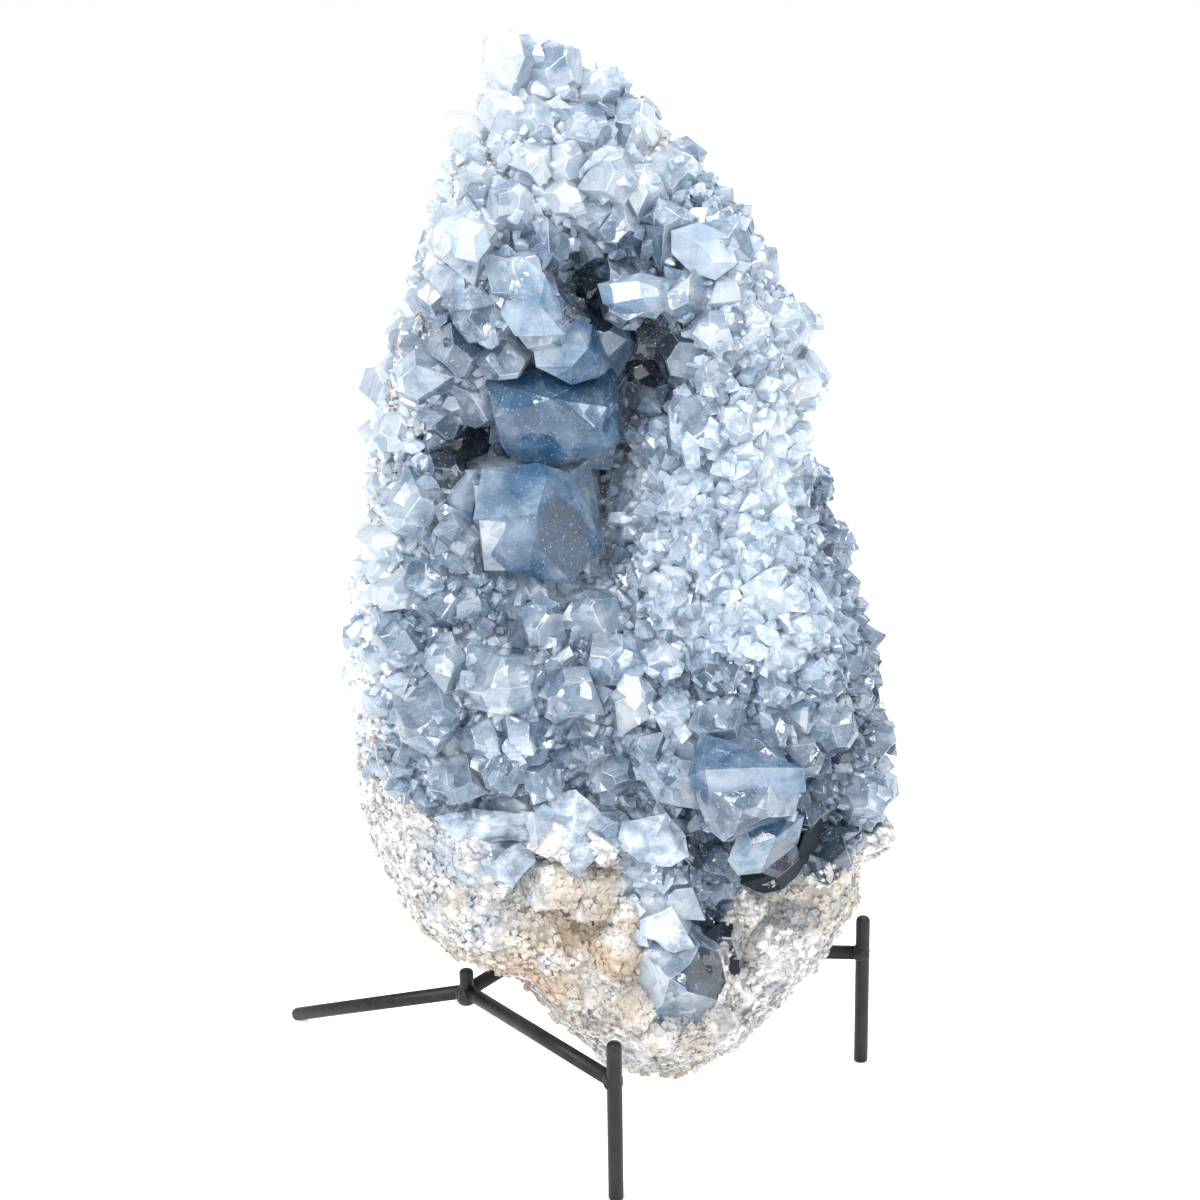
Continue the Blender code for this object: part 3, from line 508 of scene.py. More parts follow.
# %% Corners and tones of the standing crystals
FROSTED = ("lobe white", "left blade", "left facet", "middle blade", "right blade")
BIG_CRYSTALS = (
    ("upper hollow", ((-44, 42, 319), (-37, 45, 320), (-24, 46, 322), (3, 50, 322), (5, 50, 315),
     (6, 48, 293), (1, 44, 292), (-11, 41, 288), (-19, 41, 286), (-32, 42, 288), (-37, 42, 291),
     (-39, 41, 295), (-41, 36, 306), (-20, 31, 314), (-15, 32, 313), (-4, 34, 302), (-1, 36, 302),
     (1, 38, 309), (-40, 64, 312), (-2, 64, 314), (2, 64, 290), (-36, 62, 287)),
     ((-22, 298, 0.23), (-33, 312, 0.27), (-28, 319, 0.28), (-9, 316, 0.18), (-5, 305, 0.32),
      (3, 307, 0.22), (-11, 320, 0.22))),
    ("pale hollow", ((-26, 30, 336), (-19, 26, 338), (-11, 27, 344), (-4, 34, 341), (3, 44, 323),
     (-2, 40, 320), (-12, 32, 319), (-18, 30, 323), (-25, 32, 326), (-6, 24, 334), (-12, 25, 327),
     (-22, 55, 327), (-1, 55, 327)),
     ((-19, 332, 0.5), (-10, 338, 0.46), (-4, 334, 0.28), (-5, 326, 0.26), (-14, 323, 0.36))),
    ("lower hollow", ((-46, 34, 287), (-25, 34, 289), (-13, 38, 284), (-9, 38, 276), (-2, 38, 257),
     (-13, 34, 242), (-19, 32, 243), (-23, 28, 250), (-37, 34, 247), (-43, 34, 253), (-50, 36, 267),
     (-22, 26, 285), (-26, 23, 272), (-25, 25, 259), (-44, 60, 276), (-12, 60, 272), (-18, 56, 245),
     (-41, 56, 249)),
     ((-38, 277, 0.35), (-36, 256, 0.27), (-32, 286, 0.35), (-16, 263, 0.17), (-18, 247, 0.26),
      (-11, 280, 0.34), (-5, 267, 0.22))),
    ("side block", ((-64, 44, 284), (-48, 42, 285), (-51, 42, 265), (-52, 44, 257), (-66, 46, 259),
     (-57, 39, 274), (-64, 64, 275), (-53, 62, 256)),
     ((-61, 273, 0.48), (-53, 273, 0.42), (-57, 261, 0.5))),
    ("low pale", ((34, 5, 192), (47, 4, 188), (56, -4, 183), (72, -2, 180), (73, 0, 170), (61, -3, 167),
     (49, -1, 162), (38, -1, 165), (29, 2, 176), (35, -8, 182), (53, -9, 183), (38, 25, 169),
     (69, 25, 165)),
     ((39, 185, 0.26), (49, 183, 0.3), (47, 171, 0.47), (34, 171, 0.35), (67, 173, 0.42),
      (58, 165, 0.38))),
    ("low lilac", ((50, 4, 157), (69, 6, 159), (73, 8, 157), (71, 10, 145), (65, 12, 138), (57, 10, 133),
     (48, 8, 133), (44, 6, 140), (53, -2, 149), (62, -3, 153), (58, 30, 142), (68, 30, 140)),
     ((51, 139, 0.46), (60, 141, 0.14), (69, 145, 0.16), (58, 156, 0.22), (66, 156, 0.24))),
    ("lobe white", ((11, 21, 109), (23, 21, 115), (29, 18, 106), (32, 19, 98), (24, 16, 98),
     (16, 15, 105), (11, 19, 104), (19, 39, 97), (29, 39, 92)),
     ((19, 109, 0.62), (28, 100, 0.48))),
    ("left blade", ((-67, 19, 154), (-53, 17, 158), (-34, 17, 156), (-19, 19, 150), (-24, 15, 145),
     (-42, 12, 149), (-59, 15, 146), (-50, 12, 155), (-55, 35, 146), (-27, 35, 144)),
     ((-50, 155, 0.45), (-35, 149, 0.35), (-23, 147, 0.4))),
    ("left facet", ((-52, 18, 146), (-31, 18, 146), (-29, 16, 137), (-38, 16, 127), (-49, 17, 132),
     (-40, 13, 143), (-47, 36, 133), (-36, 36, 129)),
     ((-46, 141, 0.34), (-35, 136, 0.42))),
    ("middle blade", ((-25, 16, 162), (-13, 16, 166), (-3, 16, 155), (-4, 13, 142), (-12, 14, 130),
     (-21, 14, 138), (-14, 10, 154), (-20, 34, 146), (-8, 34, 138)),
     ((-19, 152, 0.46), (-8, 147, 0.4), (-14, 135, 0.46))),
    ("right blade", ((4, 12, 154), (21, 12, 157), (29, 12, 148), (30, 10, 140), (23, 9, 136),
     (11, 9, 139), (3, 11, 145), (17, 6, 150), (7, 30, 143), (25, 30, 135)),
     ((11, 149, 0.5), (22, 150, 0.42), (19, 138, 0.45))),
    ("upper white", ((-2, 33, 356), (14, 33, 360), (24, 35, 357), (28, 35, 351), (19, 33, 343),
     (7, 32, 345), (0, 32, 349), (3, 28, 357), (13, 27, 358), (14, 26, 352), (4, 27, 350), (6, 51, 350),
     (21, 51, 346)),
     ((9, 353, 1), (19, 352, 0.5), (8, 346, 0.45), (6, 358, 0.5))),
    ("upper left", ((-37, 22, 367), (-29, 22, 369), (-21, 22, 362), (-16, 22, 352), (-14, 21, 340),
     (-21, 19, 340), (-32, 19, 340), (-37, 20, 348), (-32, 16, 359), (-23, 16, 352), (-30, 40, 353),
     (-22, 40, 342)),
     ((-33, 360, 0.52), (-27, 345, 0.48), (-19, 352, 0.42), (-26, 363, 0.5), (-18, 343, 0.56))),
    ("shield", ((-56, 21, 378), (-50, 21, 383), (-42, 21, 380), (-40, 20, 373), (-45, 19, 367),
     (-53, 19, 369), (-51, 16, 376), (-46, 16, 376), (-49, 39, 372)),
     ((-49, 375, 0.8), (-54, 373, 0.66), (-43, 371, 0.6))),
    ("right crystal", ((25, 34, 375), (35, 34, 378), (46, 34, 373), (49, 33, 363), (41, 32, 357),
     (32, 32, 360), (25, 33, 367), (35, 28, 371), (40, 29, 364), (36, 52, 365)),
     ((35, 373, 0.66), (32, 363, 0.58), (45, 366, 0.52))),
)
# Deep gaps at the lower right, where no light gets in: a dark lump in each is painted shade
SHADE_LUMP_CORNERS = (
    ((77, 21, 153), (82, 29, 147), (80, 26, 137), (75, 25, 130), (72, 21, 137), (76, 28, 140),
     (77, 29, 150), (80, 34, 134), (73, 29, 134)),
    ((73, 23, 137), (76, 24, 133), (72, 29, 123), (66, 29, 118), (63, 19, 128), (69, 19, 132),
     (73, 31, 134), (72, 37, 119), (63, 27, 124)),
    ((66, 36, 122), (69, 46, 111), (61, 46, 109), (51, 39, 116), (52, 41, 121), (59, 39, 117),
     (67, 44, 118), (61, 54, 105), (53, 49, 117)),
    ((35, 31, 98), (43, 36, 101), (50, 39, 90), (50, 37, 79), (43, 31, 76), (38, 31, 87), (36, 39, 95),
     (51, 47, 86), (43, 39, 72)),
)

# %% Standing crystals
BROKEN = 1.1
BROKEN_SIZE = 6.0
FROST_TONE = 0.2
FROST_SIZE = 5.0
BROKEN_CUTS = 7
HULL_FLAT = 6.0
RIM_WIDE = 0.22
RIM_PAINTED_HIGHLIGHT = 0.1
RIM_SIDEWAYS = 0.4
GAP_PAINTED_SHADE = (0.012, 0.018, 0.028, 1)


def standing_crystal(corners, marks, frosted):
    """The hull of a few corners. A clear one gets slanted rims made paler by a painted highlight, a frosted one is
    finely broken all over.
    """
    bm = bmesh.new()
    layer = bm.faces.layers.float.new("tone")
    for corner in corners:
        bm.verts.new(place(*corner))
    made = bmesh.ops.convex_hull(bm, input=bm.verts)
    spare = {part for part in made["geom_interior"] + made["geom_unused"] if isinstance(part, bmesh.types.BMVert)}
    bmesh.ops.delete(bm, geom=list(spare), context="VERTS")
    bmesh.ops.dissolve_limit(bm, angle_limit=math.radians(HULL_FLAT), verts=bm.verts, edges=bm.edges)
    bmesh.ops.recalc_face_normals(bm, faces=bm.faces)
    for face in bm.faces:
        x, z = spot_of(face.calc_center_median())
        nearest = min(marks, key=lambda mark: math.hypot(mark[0] - x, mark[1] - z))
        face[layer] = nearest[2]
    if frosted:
        bmesh.ops.triangulate(bm, faces=bm.faces)
        bmesh.ops.subdivide_edges(bm, edges=bm.edges, cuts=BROKEN_CUTS, use_grid_fill=True)
        bm.normal_update()
        for face in bm.faces:
            face[layer] += FROST_TONE * noise.noise(face.calc_center_median() / (FROST_SIZE * MM))
        for vert in bm.verts:
            vert.co += vert.normal * noise.noise(vert.co / (BROKEN_SIZE * MM)) * BROKEN * MM
        return bm
    seen = [face for face in bm.faces if face.normal.y < RIM_SIDEWAYS]
    rims = bmesh.ops.inset_individual(bm, faces=seen, thickness=RIM_WIDE * MM, depth=EDGE_RISE * MM,
                                      use_even_offset=False)["faces"]
    # Paler rims: a painted highlight on the edges.
    for face in rims:
        face[layer] = min(1.0, face[layer] + luck.uniform(0.0, RIM_PAINTED_HIGHLIGHT))
    return bm


def join(bm, mesh):
    """Adds a mesh to a bmesh and drops the loose copy."""
    bm.from_mesh(mesh)
    bpy.data.meshes.remove(mesh)


standing, broken, shade_lumps = bmesh.new(), bmesh.new(), bmesh.new()
for kind in (standing, broken, shade_lumps):
    kind.faces.layers.float.new("tone")
for label, corners, marks in BIG_CRYSTALS:
    frosted = label in FROSTED
    join(broken if frosted else standing, to_mesh(label, standing_crystal(corners, marks, frosted)))
for corners in SHADE_LUMP_CORNERS:
    join(shade_lumps, to_mesh("gap", standing_crystal(corners, ((0, 0, 0),), False)))
# A dark matte finish for the lumps: painted shade where the gaps are deep.
gap_painted_shade, _, shader, _ = new_material("gap_painted_shade")
shader.inputs["Base Color"].default_value = GAP_PAINTED_SHADE
shader.inputs["Roughness"].default_value = 0.7
shader.inputs["Specular IOR Level"].default_value = 0.2
to_piece("gap_painted_shade_lumps", shade_lumps, gap_painted_shade)
big_trees = (BVHTree.FromBMesh(standing), BVHTree.FromBMesh(broken))
to_piece("standing_crystals", standing, clear_glass)
to_piece("broken_blades", broken, frosted_glass)

# %% [markdown]
# ## Shapes of a small crystal
# A celestite crystal is a flat sided prism with a slanted, roof-like point. A few sided column is made,
# and planes slice its top all round, a little uneven, so it comes to a point. Eighteen are enough: each
# is used hundreds of times, turned and stretched, so it has only a dozen or so faces.

# %% Crystal shapes
SHAPES = 18


def slice_top(bm, height, lean, turn):
    """Cuts the top off on a slant and closes the cut with a flat face."""
    away = Vector((math.sin(lean) * math.cos(turn), math.sin(lean) * math.sin(turn), math.cos(lean)))
    everything = bm.verts[:] + bm.edges[:] + bm.faces[:]
    cut = bmesh.ops.bisect_plane(bm, geom=everything, dist=1e-5, plane_co=(0, 0, height), plane_no=away,
                                 clear_outer=True)
    rim = [part for part in cut["geom_cut"] if isinstance(part, bmesh.types.BMEdge)]
    bmesh.ops.holes_fill(bm, edges=rim)


def crystal_shape(chance, number):
    """A crystal of width 1 and height 1 on the origin, its root below it: a wedge, a point or a plate."""
    bm = bmesh.new()
    wedge, plate = number % 3 == 0, number % 3 == 1
    sides = 4 if wedge else chance.choice((5, 6, 6))
    bmesh.ops.create_cone(bm, cap_ends=True, segments=sides, radius1=0.38, radius2=0.54, depth=2.0)
    bmesh.ops.translate(bm, verts=bm.verts, vec=(0, 0, 0.5))
    squash = chance.uniform(0.42, 0.6) if plate else chance.uniform(0.65, 0.95)
    bmesh.ops.scale(bm, verts=bm.verts, vec=(1.0, squash, 1.0))
    first = chance.uniform(0, math.tau)
    cuts = chance.choice((3, 4)) if plate else chance.choice((4, 5))
    for step in range(cuts):
        turn = first + math.tau * step / cuts + chance.uniform(-0.3, 0.3)
        lean = chance.uniform(0.85, 1.15) if step % 2 or not wedge else chance.uniform(0.5, 0.8)
        slice_top(bm, chance.uniform(0.8, 1.0), lean, turn)
    bmesh.ops.recalc_face_normals(bm, faces=bm.faces)
    bm.faces.layers.float.new("tone")
    return to_mesh(f"crystal_shape_{number}", bm)


shape_luck = random.Random(11)
shapes = [crystal_shape(shape_luck, number) for number in range(SHAPES)]
print("faces of each shape:", [len(shape.polygons) for shape in shapes])

# %% [markdown]
# ## Growing the druse
# Between the large crystals the face is covered with thousands of small ones. They could be scattered
# with instances, but the piece has to be one real mesh, so each is a small copy, turned out from the
# surface and joined. Random spots on the crust are tried one by one, and a spot too near another, or on
# the clean face of a large crystal, is passed over.

# %% Free spots
# The hollow crystals, the largest low ones and the deep gaps stay bare: x, z, radius
BARE = ((-19, 307, 24), (-28, 264, 24), (51, 169, 14), (26, 84, 17), (17, 324, 13), (-52, 290, 8), (-4, 284, 7),
        (79, 149, 5), (75, 140, 5), (69, 132, 5), (62, 127, 5), (54, 125, 5), (20, 403, 5))


def is_bare(x, z, margin):
    """Whether a spot lies on a clean face, nearer to one than a margin, or below the crystals."""
    return below_edge(x, z) or any(math.hypot(x - bx, z - bz) < radius + margin for bx, bz, radius in BARE)


class Spots:
    """Remembers used spots in a grid of boxes, so that a new one can be tested quickly."""

    def __init__(self, cell):
        self.cell = cell
        self.used = {}

    def key(self, point):
        return tuple(int(math.floor(c / self.cell)) for c in point)

    def free(self, point, gap):
        kx, ky, kz = self.key(point)
        for dx, dy, dz in itertools.product((-1, 0, 1), repeat=3):
            for other in self.used.get((kx + dx, ky + dy, kz + dz), ()):
                if (other - point).length_squared < gap * gap:
                    return False
        return True

    def add(self, point):
        self.used.setdefault(self.key(point), []).append(point)


def inside(corners, chance):
    """A random point on a triangle."""
    a, b = sorted((chance.random(), chance.random()))
    return corners[0] * a + corners[1] * (b - a) + corners[2] * (1 - b)


# %% One small crystal
FACE_LUCK = 0.1
face_luck = random.Random(17)


def grow(bm, shape, root, way, turn, width, height, tone, mottle=FACE_LUCK):
    """Adds one crystal to a bmesh: a copy of a shape, stretched, turned and set on its root."""
    mesh = shape.copy()
    size = Matrix.Diagonal((width, width, height, 1))
    turned = way.to_track_quat("Z", "Y").to_matrix().to_4x4() @ Matrix.Rotation(turn, 4, "Z")
    mesh.transform(Matrix.Translation(root) @ turned @ size)
    tones = [min(1.0, max(0.0, tone + face_luck.uniform(-mottle, mottle))) for _ in mesh.polygons]
    mesh.attributes["tone"].data.foreach_set("value", tones)
    join(bm, mesh)


# %% Which way the crystals lean
LEAN_SIZE = 18.0 * MM
LEAN_SHIFTS = (0.0, 31.7, 73.1)


def lean_of(point):
    """A lean that changes slowly from spot to spot, so neighbours lean alike."""
    return Vector([noise.noise(point / LEAN_SIZE + Vector((shift, 0, 0))) for shift in LEAN_SHIFTS])


def outward(root, normal, share):
    """A way out: partly the surface's own, partly straight away from the middle of the stone."""
    away = Vector((root.x / 0.12, -1.6, (root.z - 0.22) / 0.25)).normalized()
    return (normal * share + away * (1 - share)).normalized()


# %% A druse
# How far crystals lean: each by itself, with their neighbours, and how much less on the fine slope
TILT_LUCK = 0.18
TILT_SHARED = 0.8
SLOPE_CALM = 0.7
# A crystal on a large one, more than so many millimetres off the rind, is sunk deeper
DEEP = 0.62
DEEP_RISE = 9.5
# Faces turned further back than this bear none, and a clean face keeps a share of the width free
SIDEWAYS = 0.35
CLEAN_SHARE = 0.3
WIDEST_GAP = 12.0
SIGHT = 60.0


def slope_share(x, z):
    """How far a spot lies in the fine slope on the right, from 0 to 1."""
    return math.exp(-((x - 60) / 46) ** 4 - ((z - 255) / 52) ** 4)


def hidden(root):
    """Whether a root lies behind one of the standing crystals, as the camera sees it."""
    return any(tree.ray_cast(root, -ahead, SIGHT * MM)[0] for tree in big_trees)


def druse(name, seed, tries, size_at, share, material, luck=0.1):
    """Grows crystals on random spots of the crust. size_at gives width, height, spacing and sunk share."""
    chance = random.Random(seed)
    areas = np.cumsum([area for _, area, _ in crust_faces])
    picks = np.searchsorted(areas, np.array([chance.random() for _ in range(tries)]) * areas[-1])
    spots = Spots(WIDEST_GAP * MM)
    bm = bmesh.new()
    bm.faces.layers.float.new("tone")
    count = 0
    for pick in picks:
        normal, _, corners = crust_faces[min(int(pick), len(crust_faces) - 1)]
        root = inside(corners, chance)
        x, z = spot_of(root)
        if normal.y > SIDEWAYS or hidden(root):
            continue
        size = size_at(x, z, rise(root), chance)
        if size is None or is_bare(x, z, size[0] * CLEAN_SHARE):
            continue
        width, height, gap = (value * MM for value in size[:3])
        if not spots.free(root, gap):
            continue
        spots.add(root)
        calm = 1 - SLOPE_CALM * slope_share(x, z)
        shared = lean_of(root) * TILT_SHARED * calm
        tilt = Vector([chance.gauss(0, TILT_LUCK) for _ in range(3)])
        way = (outward(root, normal, share) + shared + tilt).normalized()
        sunk = root - way * height * (size[3] if rise(root) < DEEP_RISE else DEEP)
        grow(bm, chance.choice(shapes), sunk, way, chance.uniform(0, math.tau), width,
             height, tone_at(root, chance, luck * calm), FACE_LUCK * calm)
        count += 1
    print(name, count, "crystals")
    return to_piece(name, bm, material)


# %% [markdown]
# ## Four sizes of small crystal
# The sizes follow the stone: stout crystals of one to two centimetres outside the slope, medium ones of
# about a centimetre between them, small ones that make up most of the long slope at the right, and very
# small ones in every gap. Each size says its width, height, spacing and sunk share, or None for no crystal.

# %% Druse


def stout_size(x, z, off, chance):
    if off > 12.0 or slope_share(x, z) > 0.3 or chance.random() < 0.9 * rim_share(x, z):
        return None
    width = chance.uniform(13.0, 21.0)
    return width, width * chance.uniform(0.8, 1.1), width * 0.66, 0.42


def medium_size(x, z, off, chance):
    if chance.random() < 0.8 * rim_share(x, z) or off > 9.5 and chance.random() > 0.3:
        return None
    slope = slope_share(x, z)
    width = chance.uniform(8.0, 14.0) + 3.0 * slope
    return width, width * chance.uniform(0.9, 1.25), width * (0.66 - 0.12 * slope), 0.36 + 0.14 * slope


def small_size(x, z, off, chance):
    slope = slope_share(x, z)
    if off > 10.0 + 24.0 * slope:
        return None
    width = chance.uniform(4.5, 8.0) + 7.0 * slope
    return width, width * chance.uniform(0.9, 1.2), width * (0.62 - 0.2 * slope), 0.3 + 0.2 * slope


def tiny_size(x, z, off, chance):
    if off > 9.0 or chance.random() < 0.95 * slope_share(x, z):
        return None
    width = chance.uniform(2.2, 4.2)
    return width, width * chance.uniform(0.9, 1.6), width * 1.1, 0.28


druse("stout_druse", 20, 3000, stout_size, 0.45, large_glass, 0.14)
druse("medium_druse", 21, 12000, medium_size, 0.45, fine_glass, 0.13)
druse("small_druse", 22, 30000, small_size, 0.5, fine_glass, 0.1)
druse("tiny_druse", 23, 12000, tiny_size, 0.6, fine_glass, 0.1)

# %% [markdown]
# ## Rind
# The rind is a rough, sugary crust of fine white grains with cream and tan stains. The plain CAD solid
# gives the form. Its copy is merged, cut finer and smoothed, and noise then pushes each point in or out:
# broad lumps, then pits, then grain. Near the rods it is held back, so the stone rests clear of them.

# %% Rind shape
RIND_CUTS = 10
SMOOTH_ROUNDS = 6
LUMPS = ((22.0, 1.6), (8.0, 1.8), (3.6, 1.3))
# The middle lines of the rods, from end to end
RODS = {
    "front_post": ((0, 0, 0), (0, 0, 68)), "right_post": ((107.4, 114, 0), (107.4, 114, 68)),
    "rear_prong": ((-60.7, 82.3, 48), (-60.7, 82.3, 61)), "left_bar": ((0, 0, 51), (-60.7, 82.3, 51)),
    "rear_bar": ((-60.7, 82.3, 51), (-30, 127, 51)), "right_bar": ((107.4, 114, 51), (-30, 127, 51)),
    "rear_leg": ((-60.7, 82.3, 51), (-141.5, 162.5, 2.6)),
}


def rod_distance(point):
    """The distance from a point to the nearest rod's middle line, in metres."""
    best = 1.0
    for start, end in RODS.values():
        a, b = place(*start), place(*end)
        along = max(0.0, min(1.0, (point - a).dot(b - a) / (b - a).length_squared))
        best = min(best, (point - a - (b - a) * along).length)
    return best


ROD_CLEAR = 3.2
ROD_FADE = 5.0


def held_back(point):
    """How freely the skin may bulge: 0 close to a rod, 1 from about 8 mm away."""
    return min(1.0, max(0.0, (rod_distance(point) / MM - ROD_CLEAR) / ROD_FADE))


rind = bmesh.new()
rind.from_mesh(nodes["matrix_rind"].data)
bmesh.ops.remove_doubles(rind, verts=rind.verts, dist=0.00001)
bmesh.ops.triangulate(rind, faces=rind.faces)
bmesh.ops.subdivide_edges(rind, edges=rind.edges, cuts=RIND_CUTS, use_grid_fill=True)
for _ in range(SMOOTH_ROUNDS):
    bmesh.ops.smooth_vert(rind, verts=rind.verts, factor=0.5, use_axis_x=True, use_axis_y=True, use_axis_z=True)
rind.normal_update()
for vert in rind.verts:
    push = sum(height * noise.noise(vert.co / (size * MM)) for size, height in LUMPS)
    vert.co += vert.normal * (push * held_back(vert.co) - 0.5) * MM
for face in rind.faces:
    face.smooth = False

# %% [markdown]
# The colour starts as warm white. Cream and tan lie in broad patches, most of them low on the front and
# on the back, and grey-blue spots show where small crystals sit in the rind. Fine grain is relief.

# %% Rind material
WARM_WHITE, DULL_GREY = (0.88, 0.87, 0.85, 1), (0.48, 0.47, 0.46, 1)
RIND_INDEX = 1.55
rind_stone, tree, shader, where = new_material("sugary_rind")


def patch(scale, low, high, detail=4.0, distort=0.6):
    """A soft patchy mask from noise, from 0 below low to 1 above high."""
    cloud = node(tree, "ShaderNodeTexNoise", Vector=where, Scale=scale, Detail=detail, Distortion=distort)
    return spread(tree, cloud.outputs[0], low, high)


def near(x, y, z, radius):
    """A soft round mask about a place measured from the front foot."""
    moved = node(tree, "ShaderNodeVectorMath", {"operation": "DISTANCE"}, i0=where, i1=place(x, y, z))
    return spread(tree, moved.outputs["Value"], radius * MM, radius * MM * 0.35)


grains = node(tree, "ShaderNodeTexVoronoi", {"feature": "F1"}, Vector=where, Scale=520.0)
colour = mix(tree, patch(190.0, 0.44, 0.56, 6.0), WARM_WHITE, DULL_GREY)
# Where each stain lies, how much of it shows, and its colour
stains = (
    (patch(60.0, 0.45, 0.60), 0.5, (0.72, 0.71, 0.69, 1)),
    (patch(34.0, 0.50, 0.64), 0.7, (0.56, 0.47, 0.37, 1)),
    (patch(110.0, 0.54, 0.64), 0.45, (0.34, 0.38, 0.44, 1)),
    (patch(55.0, 0.46, 0.56), near(-50, 35, 126, 36), (0.30, 0.37, 0.47, 1)),
    (patch(90.0, 0.40, 0.60), near(-34, 55, 80, 30), (0.56, 0.30, 0.15, 1)),
    (patch(60.0, 0.40, 0.58), near(-6, 30, 100, 40), (0.46, 0.37, 0.28, 1)),
    (patch(44.0, 0.36, 0.56), near(-8, 20, 92, 46), (0.52, 0.41, 0.29, 1)),
    (patch(75.0, 0.50, 0.60), near(60, 30, 88, 60), (0.26, 0.27, 0.29, 1)),
    (patch(300.0, 0.56, 0.66, 6.0), 0.5, (0.24, 0.235, 0.23, 1)),
)
for spots, share, stain in stains:
    colour = mix(tree, product(tree, spots, share), colour, stain)
veil = node(tree, "ShaderNodeGroup", {"node_tree": veil_group}, Position=where, Scale=120.0, Amount=0.6)
colour = mix(tree, product(tree, veil.outputs["Milk"], 0.4), colour, (0.80, 0.81, 0.82, 1))
tree.links.new(colour, shader.inputs["Base Color"])
tree.links.new(spread(tree, grains.outputs["Distance"], 0.1, 0.5, 0.35, 0.8), shader.inputs["Roughness"])
grain = node(tree, "ShaderNodeBump", Strength=0.8, Distance=0.0012, Height=grains.outputs["Distance"])
crumb = node(tree, "ShaderNodeTexNoise", Vector=where, Scale=420.0, Detail=6.0, Roughness=0.7)
rough = node(tree, "ShaderNodeBump", Strength=0.7, Distance=0.002, Height=crumb.outputs[0], Normal=grain.outputs[0])
tree.links.new(rough.outputs[0], shader.inputs["Normal"])
shader.inputs["IOR"].default_value = RIND_INDEX
rind_spots = [(f.normal.copy(), f.calc_center_median()) for f in rind.faces]
to_piece("rind", rind, rind_stone, ["matrix_rind"])

# %% [markdown]
# Below the lower edge of the crystals the same sugar has grown over a few large ones. A coat of their own
# faces is lifted off them by about a millimetre and roughened with noise.

# %% Sugar coat
COAT_LIFT = 0.9
COAT_ROUGH = 0.7
COAT_GRAIN = 3.6
bmesh.ops.triangulate(coat, faces=coat.faces)
long_edges = [edge for edge in coat.edges if edge.calc_length() > 3.0 * MM]
bmesh.ops.subdivide_edges(coat, edges=long_edges, cuts=3, use_grid_fill=True)
lifted = bmesh.ops.extrude_face_region(coat, geom=coat.faces[:], use_keep_orig=True)["geom"]
coat.normal_update()
for vert in [part for part in lifted if isinstance(part, bmesh.types.BMVert)]:
    lift = COAT_LIFT + COAT_ROUGH * noise.noise(vert.co / (COAT_GRAIN * MM))
    vert.co += vert.normal * lift * held_back(vert.co) * MM
bmesh.ops.recalc_face_normals(coat, faces=coat.faces)
to_piece("sugar_coat", coat, rind_stone)

# %% [markdown]
# Relief in the material alone looks smooth at the edge of the stone. So the bare rind also gets real
# grains: small uneven blocks of six faces, sunk half way into the skin, thickest on the front lobes
# and along the left rim, where they also cover the roots of the crystals.

# %% Sugar grains
GRAINS = 12000
CREAM_PATCH = place(20, 0, 403)


def grain_shape(chance, number):
    """An uneven block about one unit wide."""
    bm = bmesh.new()
    bmesh.ops.create_cube(bm, size=0.8)
    for vert in bm.verts:
        vert.co *= chance.uniform(0.6, 1.15)
    bm.faces.layers.float.new("tone")
    return to_mesh(f"grain_shape_{number}", bm)


grain_luck = random.Random(31)
lumps = [grain_shape(grain_luck, number) for number in range(8)]
sugar = bmesh.new()
sugar.faces.layers.float.new("tone")
crust_tree = BVHTree.FromPolygons([corner for _, _, corners in crust_faces for corner in corners[:3]],
                                  [(i, i + 1, i + 2) for i in range(0, 3 * len(crust_faces), 3)])
front = [spot for spot in rind_spots if spot[0].y < 0.6 and rod_distance(spot[1]) > 5.5 * MM
         and crust_tree.find_nearest(spot[1])[3] > 3.0 * MM]
rim = []
for normal, _, corners in crust_faces:
    middle = (corners[0] + corners[1] + corners[2]) / 3
    x, z = spot_of(middle)
    creamy = math.hypot(middle.x - CREAM_PATCH.x, middle.z - CREAM_PATCH.z) < 6 * MM and middle.y < 0
    if creamy or (rise(middle) < 9.0 and rim_share(x, z) > 0.5) or below_edge(x, z):
        rim.append((normal, corners))
rim_areas = [(c[1] - c[0]).cross(c[2] - c[0]).length for _, c in rim]
rim_picks = iter(grain_luck.choices(rim, weights=rim_areas, k=GRAINS))
for number in range(GRAINS):
    if number % 2:
        normal, root = grain_luck.choice(front)
        root = root + Vector([grain_luck.uniform(-1.2, 1.2) * MM for _ in range(3)])
    else:
        normal, corners = next(rim_picks)
        root = inside(corners, grain_luck)
        if below_edge(*spot_of(root)):
            root += normal * COAT_LIFT * MM
    width = grain_luck.uniform(1.4, 4.2) * MM
    turn = grain_luck.uniform(0, math.tau)
    grow(sugar, grain_luck.choice(lumps), root, normal, turn, width, width * grain_luck.uniform(0.6, 1.1), 1.0)
to_piece("sugar_grains", sugar, rind_stone)

# %% [markdown]
# ## Rods
# The stand is round steel rod, cut square, ground a little at the ends and welded, then painted satin
# black. A cylinder with rounded edges would do for each. A small cone shape with equal ends is that
# cylinder, its end rings are bevelled, and it is then turned from one end of the rod to the other.

